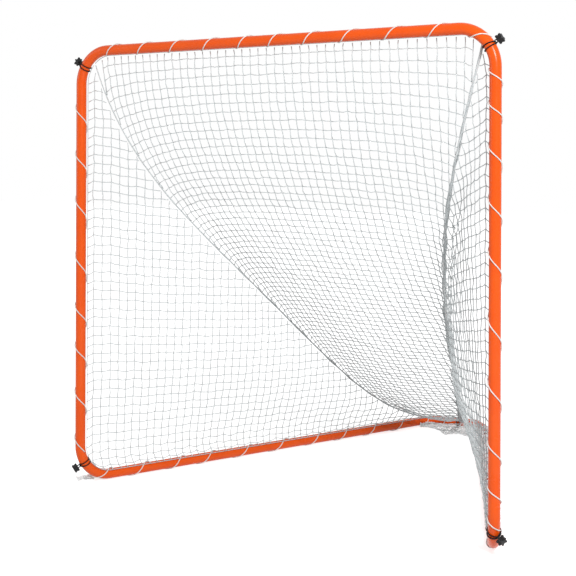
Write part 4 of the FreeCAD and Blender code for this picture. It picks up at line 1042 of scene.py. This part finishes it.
def level_sheet(side):
    """Levels, their first and last distances, and a grid of places by level and distance.

    Each line across the panel is cut at the levels. A level runs from line to line, and its
    distance is the sum of its steps from where it enters the panel. Below the foot's bend a
    level enters further back, and its count starts at 0.7 times how far.
    """
    shares, across = np.linspace(0, 1, 500), np.linspace(1, 0, LEVEL_LINES)
    grid = side_surface(side, *np.meshgrid(shares, across, indexing="ij"))
    heights = np.maximum.accumulate(grid[..., 2] + np.arange(LEVEL_LINES) * 1e-9, axis=1)
    levels = np.linspace(heights.min() + 0.5 * MM, heights.max() - 0.5 * MM, 360)
    cut = columns_of(grid, levels, heights)
    inside = (levels >= heights[:, :1]) & (levels <= heights[:, -1:])
    enter = np.argmax(inside, axis=0)
    leave = len(shares) - 1 - np.argmax(inside[::-1], axis=0)
    index = np.clip(np.arange(len(shares))[:, None], enter, leave)
    cut = cut[index, np.arange(len(levels))]
    foot = grid[0, 0]
    setback = np.linalg.norm(cut[0, :, :2] - foot[:2], axis=1)
    start = np.where(levels < foot[2], FOOT_SHIFT * setback, 0)
    steps = np.linalg.norm(np.diff(cut, axis=0), axis=2)
    along = start + np.concatenate([np.zeros((1, len(levels))), np.cumsum(steps, axis=0)])
    distances = np.arange(0, along[-1].max(), SHEET_STEP)
    sheet = columns_of(cut.transpose(1, 0, 2), distances, along.T)
    return levels, start, along[-1], sheet


def on_sheet(levels, sheet, height, distance):
    """The place at a height and a distance, blended from the four nearest of the grid."""
    row = np.clip((height - levels[0]) / (levels[1] - levels[0]), 0, len(levels) - 1.001)
    column = np.clip(distance / SHEET_STEP, 0, sheet.shape[1] - 1.001)
    r, c = row.astype(int), column.astype(int)
    up, on = (row - r)[..., None], (column - c)[..., None]
    lower = sheet[r, c] * (1 - on) + sheet[r, c + 1] * on
    upper = sheet[r + 1, c] * (1 - on) + sheet[r + 1, c + 1] * on
    return lower * (1 - up) + upper * up


# %% Side nets
def side_net(side, word):
    """Knots at height b + w log(1 + exp((h - b) / w)), with b where the column ends below.

    h is the row's height at the post, less a share that grows to the back, and w the depth
    of the pile. Folds along the seam move knots by d sin(2 pi x / 55 mm) exp(-x / 220 mm)
    (1 - exp(-(a / 0.3 m)^2)), with x the distance to the seam and a that to the post.
    """
    levels, start, end, sheet = level_sheet(side)
    columns = np.arange(FIRST_COLUMN, end.max() - 10 * MM, COLUMN_GAP)
    rising = np.maximum.accumulate(end[::-1])
    top = np.interp(columns, rising, levels[::-1])[:, None]
    bottom = np.interp(columns, start[::-1], levels[::-1])[:, None]
    rows = FIRST_LEVEL + np.arange(60) * ROW_GAP
    fan = FAN_REACH * (1 - np.exp(-columns / FAN_REACH))[:, None]
    nominal = rows * (1 - ROW_FAN[side] * fan) + chance.normal(0, COLUMN_DRIFT, (len(columns), 1))
    height = bottom + PILE * np.logaddexp(0, (nominal - bottom) / PILE)
    highest_knot = top - SEAM_MARGIN * ROW_GAP
    valid = (height < highest_knot) & (height > bottom + BASE_MARGIN)
    odd = (np.arange(len(columns))[:, None] + np.arange(len(rows))) % 2 * 2 - 1
    zigzag = ZIGZAG * np.exp(-(height - bottom) / (120 * MM)) * (height > bottom + 12 * MM)
    height = height + odd * zigzag
    away = np.broadcast_to(columns[:, None], height.shape)
    knots = on_sheet(levels, sheet, height, away)
    to_seam = np.maximum(np.interp(height, levels, end) - away, 0)
    folds = FOLD_DEPTH[side] * np.sin(2 * np.pi * to_seam / (55 * MM)) * np.exp(-to_seam / (220 * MM))
    folds = folds * (1 - np.exp(-((away / 0.3) ** 2)))
    knots = knots + folds[..., None] * INWARDS[side] + chance.normal(0, KNOT_DRIFT, knots.shape)
    pairs = [joined(valid, knots, axis) for axis in (0, 1)]
    index = np.flatnonzero(valid.any(axis=1))
    lowest = np.argmax(valid[index], axis=1)
    highest = valid.shape[1] - 1 - np.argmax(valid[index][:, ::-1], axis=1)
    feet = on_sheet(levels, sheet, bottom[index, 0], columns[index])
    heads = on_sheet(levels, sheet, top[index, 0], columns[index])
    pairs += [(feet, knots[index, lowest]), (knots[index, highest], heads)]
    # Rungs from the post's edge, where they are pulled down a little, to the first column.
    rungs = np.flatnonzero(valid[0])
    post_height = np.maximum(height[0, rungs] - RUNG_DIP, levels[0])
    post_places = on_sheet(levels, sheet, post_height, np.interp(post_height, levels, start))
    pairs.append((post_places, knots[0, rungs]))
    # Each row runs on to the seam, between its last column and the next.
    crossing = valid[:-1] & ~valid[1:] & (height[1:] >= highest_knot[1:])
    column, row = np.nonzero(crossing)
    room_here, room_after = (top - height)[column, row], (top - height)[column + 1, row]
    ratio = np.clip(room_here / np.maximum(room_here - room_after, 1e-6), 0, 1)
    seam_distance = columns[column] + COLUMN_GAP * ratio
    seam_height = np.interp(seam_distance, rising, levels[::-1])
    pairs.append((knots[column, row], on_sheet(levels, sheet, seam_height, seam_distance)))
    net_panel(
        f"side_panel_{word}", pairs, knots[valid], -INWARDS[side], NET_TWINE_PAINTED_SHADE, [f"net_{word}"]
    )


for side, word in SIDES:
    side_net(side, word)

# %% [markdown]
# ## Spare net
#
# The net is cut larger than its frame. What is spare lies over the right base bar, on the
# ground inside the rear corner, and pokes out under the left foot. These are heaps of small
# soft folds, so each is a surface in waves with its meshes drawn close together.


# %% Spare net
def spare_net(name, surface, along_count, across_count, facing):
    """Close meshes over a surface of two shares, with each knot moved a little."""
    along, across = np.meshgrid(
        np.linspace(0, 1, along_count), np.linspace(0, 1, across_count), indexing="ij"
    )
    knots = surface(along, across) + chance.normal(0, 2 * MM, along.shape + (3,))
    knots[..., 2] = np.maximum(knots[..., 2], 6 * MM)
    everywhere = np.ones(along.shape, bool)
    pairs = [joined(everywhere, knots, axis) for axis in (0, 1)]
    # Painted light: the spare net takes the whitened gathered twine, which lifts the shade of its
    # close folds.
    net_panel(name, pairs, knots.reshape(-1, 3), np.array(facing, float), GATHERED_TWINE_PAINTED_LIGHT)


def over_right_bar(along, across):
    """From 135 to 250 degrees round the bar, swelling by up to 11 mm in folds 70 mm long."""
    distance = FOOT_END + 110 * MM + (BASE_ROUTE_LENGTH - FOOT_END - 170 * MM) * along
    folds = 0.5 + 0.5 * np.sin(distance / (11 * MM) + 2 * np.sin(distance / (60 * MM)) + 3 * across)
    swell = (3 + 11 * folds * np.sin(np.pi * (0.1 + 0.8 * across))) * MM
    angle = np.radians(135 + 115 * across)
    point = on_route(BASES[RIGHT], distance)[0]
    beside = wound(BASES[RIGHT], distance, angle, 1.0) - point
    return point + beside * (NET_R + swell)[..., None]


def inside_rear_corner(along, across):
    """From the rear corner's inner side forward to y = 1.7 m, on the ground in low waves."""
    back = wound(REAR, REAR_LENGTH * (0.06 + 0.88 * along), np.pi, TUBE_R + 9 * MM)
    front = np.stack([-0.13 + 0.28 * along, 1.7 + 0.012 * np.sin(9 * along), 0 * along], axis=-1)
    reach = across * np.minimum(1, 0.1 + 1.8 * along)
    place = back * (1 - reach[..., None]) + front * reach[..., None]
    waves = np.sin(13 * along + 5 * across) * np.sin(11 * across + 4 * along)
    place[..., 2] = (9 + 6 * waves + 10 * (1 - across)) * MM
    return place


def under_left_foot(along, across):
    """A tuft from beside the foot's bend out to 85 mm, falling to the ground in folds."""
    distance = FOOT_DROP + FOOT_BEND * 0.62 + 105 * MM * along
    point = on_route(BASES[LEFT], distance)[0]
    outwards = np.array([-np.cos(BASE_ANGLE), -np.sin(BASE_ANGLE), 0])
    reach = (26 + 60 * across * (0.7 + 0.3 * np.sin(9 * along))) * MM
    place = point + outwards * reach[..., None]
    place[..., 2] = (24 - 16 * across + 6 * np.sin(14 * along + 6 * across)) * MM
    return place


spare_net("spare_net_right_bar", over_right_bar, 130, 8, (0.9, 0.3, 0.3))
spare_net("spare_net_rear", inside_rear_corner, 26, 12, (0, 0, 1))
spare_net("spare_net_left_foot", under_left_foot, 13, 9, (0, 0, 1))

# %% [markdown]
# ## Seams and edge cords
#
# Along each seam the spare net is gathered, so fourteen of its twines wander round a soft
# core. The left one is drawn tight, the right one is fuller. The net's outer edges have a
# doubled twine that the lacing holds against the tubes.


# %% Seams and edge cords
BUNDLE_TWINES = 14
ROPE_SHARE = 0.6
ROPE_SIDES = 16
ROPE_TWIST = dict(strands=5, lay=110 * MM, relief=0.4)
EDGE_SIDES = 8
EDGE_TWIST = dict(strands=2, lay=14 * MM, relief=0.3)


def seam_bundle(name, path, out, sideways, radius, along):
    """Twines that wander round a path, at angles a + 1.3 sin(s / 90 mm) and varied reach."""
    shift, parts = 0, []
    for index in range(BUNDLE_TWINES):
        angle = 2.4 * index + 1.3 * np.sin(along / (90 * MM) + 2.4 * index) + along / (300 * MM)
        reach = radius * (0.8 + 0.35 * np.sin(along / (47 * MM) + 1.7 * index))
        wandering = path + turned(out, sideways, angle) * reach[:, None]
        vertices, quads, fans, uvs = cord_arrays(wandering, out, TWINE_R, TWINE_SIDES)
        parts.append((vertices, quads + shift, fans + shift, uvs))
        shift += len(vertices)
    mesh = mesh_from_arrays(name, *(np.concatenate(part) for part in zip(*parts)))
    add_piece(mesh, NET_TWINE_PAINTED_SHADE, "frame")


def seam(side, word, fullness):
    """A soft core of radius 0.6 r (0.8 + 0.2 waves) with the gathered twines round it."""
    share = np.linspace(0, 1, 900)
    path = seam_point(side, share)
    along = distances_along(path)
    lumps = np.sin(along / (31 * MM) + 2 * np.sin(along / (170 * MM)))
    taper = np.clip(np.minimum(0.3 + 1.4 * share, (1 - share) / 0.02), 0.3, 1)
    radius = fullness * taper * (0.8 + 0.2 * lumps)
    out, sideways = side_frame(unit(np.gradient(path, axis=0)), NET_FACING)
    mesh = carried_cord(
        f"seam_rope_{word}", path, NET_FACING, ROPE_SHARE * radius, ROPE_SIDES, **ROPE_TWIST
    )
    # Painted light: the core takes the whitened gathered twine, which lifts its own shade.
    add_piece(mesh, GATHERED_TWINE_PAINTED_LIGHT, "frame", [f"net_seam_{word}"])
    seam_bundle(f"seam_twines_{word}", path, out, sideways, radius, along)


def edge_cord(name, path, facing):
    """A doubled twine along an outer edge of the net."""
    mesh = carried_cord(name, path, facing, EDGE_CORD_R, EDGE_SIDES, **EDGE_TWIST)
    add_piece(mesh, NET_TWINE_PAINTED_SHADE, "frame")


seam(LEFT, "left", 3.0 * MM)
seam(RIGHT, "right", 12 * MM)
BACKWARDS = np.array([0.0, 1.0, 0.0])
for side, word in SIDES:
    edge_cord(f"edge_post_{word}", SIDE_EDGES[side][2](np.linspace(0, 1, 700)), BACKWARDS)
    towards_middle = np.array([-side * 1.0, -0.4, 0.0])
    edge_cord(f"edge_base_{word}", on_base(side, np.linspace(0, 1, 900)), towards_middle)
edge_cord("edge_crossbar", BACK_EDGES[2](np.linspace(0, 1, 800)), BACKWARDS)
print(f"two seams of {BUNDLE_TWINES} gathered twines, and five edge cords")

# %% [markdown]
# ## Floor, light and camera
#
# The photograph is a cut-out on plain white. The floor and the world show as white to the
# camera and in reflections, while the light on the goal stays at a plain level: a broad key
# from the front right, a weaker fill from the left, and an even sky.


# %% Floor and world
def white_for_eyes(tree):
    """1 for camera, glossy and transmission rays, 0 for the rays that light the object."""
    rays = add_node(tree, "LightPath")
    seen = rays.outputs["Is Camera Ray"]
    for name in ("Is Glossy Ray", "Is Transmission Ray"):
        seen = add_node(tree, "Math", {0: seen, 1: rays.outputs[name]}, operation="MAXIMUM")
    return seen


def floor_finish():
    """White paper that shows as white and keeps the goal's shadow near it.

    Its glow rises from 0.7 within 2 m of the goal to 0.85 from 5 m on, where the lamps
    give less, so that no horizon shows.
    """
    finish, tree = new_finish("seamless_white_paper")
    paper = add_node(tree, "BsdfDiffuse", {"Color": linear("#EDEDED")})
    place = add_node(tree, "TexCoord").outputs["Object"]
    distance = add_node(tree, "VectorMath", {0: place}, operation="LENGTH")
    level = add_node(
        tree, "MapRange",
        {"Value": distance, "From Min": 2.0, "From Max": 5.0, "To Min": 0.7, "To Max": 0.85},
    )
    glow = add_node(tree, "Emission", {"Color": linear("#FFFFFF"), "Strength": level})
    nothing = add_node(tree, "Emission", {"Strength": 0.0})
    shown = add_node(tree, "MixShader", {0: white_for_eyes(tree), 1: nothing, 2: glow})
    return close_finish(finish, "AddShader", {0: paper, 1: shown})


FLOOR_HALF = 30.0
corners = np.array([(-1, -1, 0), (1, -1, 0), (1, 1, 0), (-1, 1, 0)]) * FLOOR_HALF
floor_mesh = mesh_from_arrays("floor", corners, np.array([[0, 1, 2, 3]]))
floor_mesh.materials.append(floor_finish())
floor = bpy.data.objects.new("floor", floor_mesh)
bpy.context.scene.collection.objects.link(floor)

world = bpy.data.worlds.new("studio")
world.use_nodes = True
world.node_tree.nodes.clear()
SKY = 0.36
seen = white_for_eyes(world.node_tree)
strength = add_node(world.node_tree, "MapRange", {"Value": seen, "To Min": SKY, "To Max": 1.0})
sky = add_node(
    world.node_tree, "Background", {"Color": linear("#FFFFFF"), "Strength": strength}
)
add_node(world.node_tree, "OutputWorld", {"Surface": sky})
bpy.context.scene.world = world


# %% Lamps
def stand(name, data, place, right, up, back):
    """An object for a lamp or camera at a place, with the given axes."""
    holder = bpy.data.objects.new(name, data)
    bpy.context.scene.collection.objects.link(holder)
    matrix = np.eye(4)
    matrix[:3] = np.stack([right, up, back, place], axis=1)
    holder.matrix_world = Matrix(matrix.tolist())
    return holder


def softbox(name, place, aim, size, power):
    """A square area lamp at a place, turned towards a point."""
    lamp = bpy.data.lights.new(name, "AREA")
    lamp.size = size
    lamp.energy = power
    back = unit(np.subtract(place, aim))
    right = unit(np.cross((0, 0, 1), back))
    stand(name, lamp, place, right, np.cross(back, right), back)
    print(f"{name} lamp {size} m wide at {power} W")


GOAL_MIDDLE = (0, 0.8, 0.9)
softbox("key", (4.5, -4.0, 4.2), GOAL_MIDDLE, 1.3, 370)
softbox("fill", (-5.0, -2.5, 2.6), GOAL_MIDDLE, 3.0, 45)

# %% [markdown]
# ## Camera
#
# The camera stands where the photograph was taken from: to the right of the mouth, level,
# at 1.36 m. The picture is cut from the lower part of a level view, which the lens shift
# gives.

# %% Camera
PICTURE = 576
FOCAL_PX = 1185.97
HORIZON_PX = 167.03
YAW = np.radians(31.07)
ROLL = 0.0033
CAMERA_PLACE = (2.4419, -3.8915, 1.3607)
camera = bpy.data.cameras.new("camera")
camera.sensor_width = 36.0
camera.lens = camera.sensor_width * FOCAL_PX / PICTURE
camera.shift_y = -(PICTURE / 2 - HORIZON_PX) / PICTURE
camera.clip_end = 200
back = np.array([np.sin(YAW), -np.cos(YAW), 0])
level_right = np.array([np.cos(YAW), np.sin(YAW), 0])
right = level_right * np.cos(ROLL) + np.array([0, 0, np.sin(ROLL)])
holder = stand("camera", camera, CAMERA_PLACE, right, np.cross(back, right), back)
bpy.context.scene.camera = holder
bpy.context.scene.view_settings.view_transform = "Standard"
print(f"camera at {CAMERA_PLACE}, lens {camera.lens:.1f} mm")

# %% Last update of the scene
bpy.context.view_layer.update()
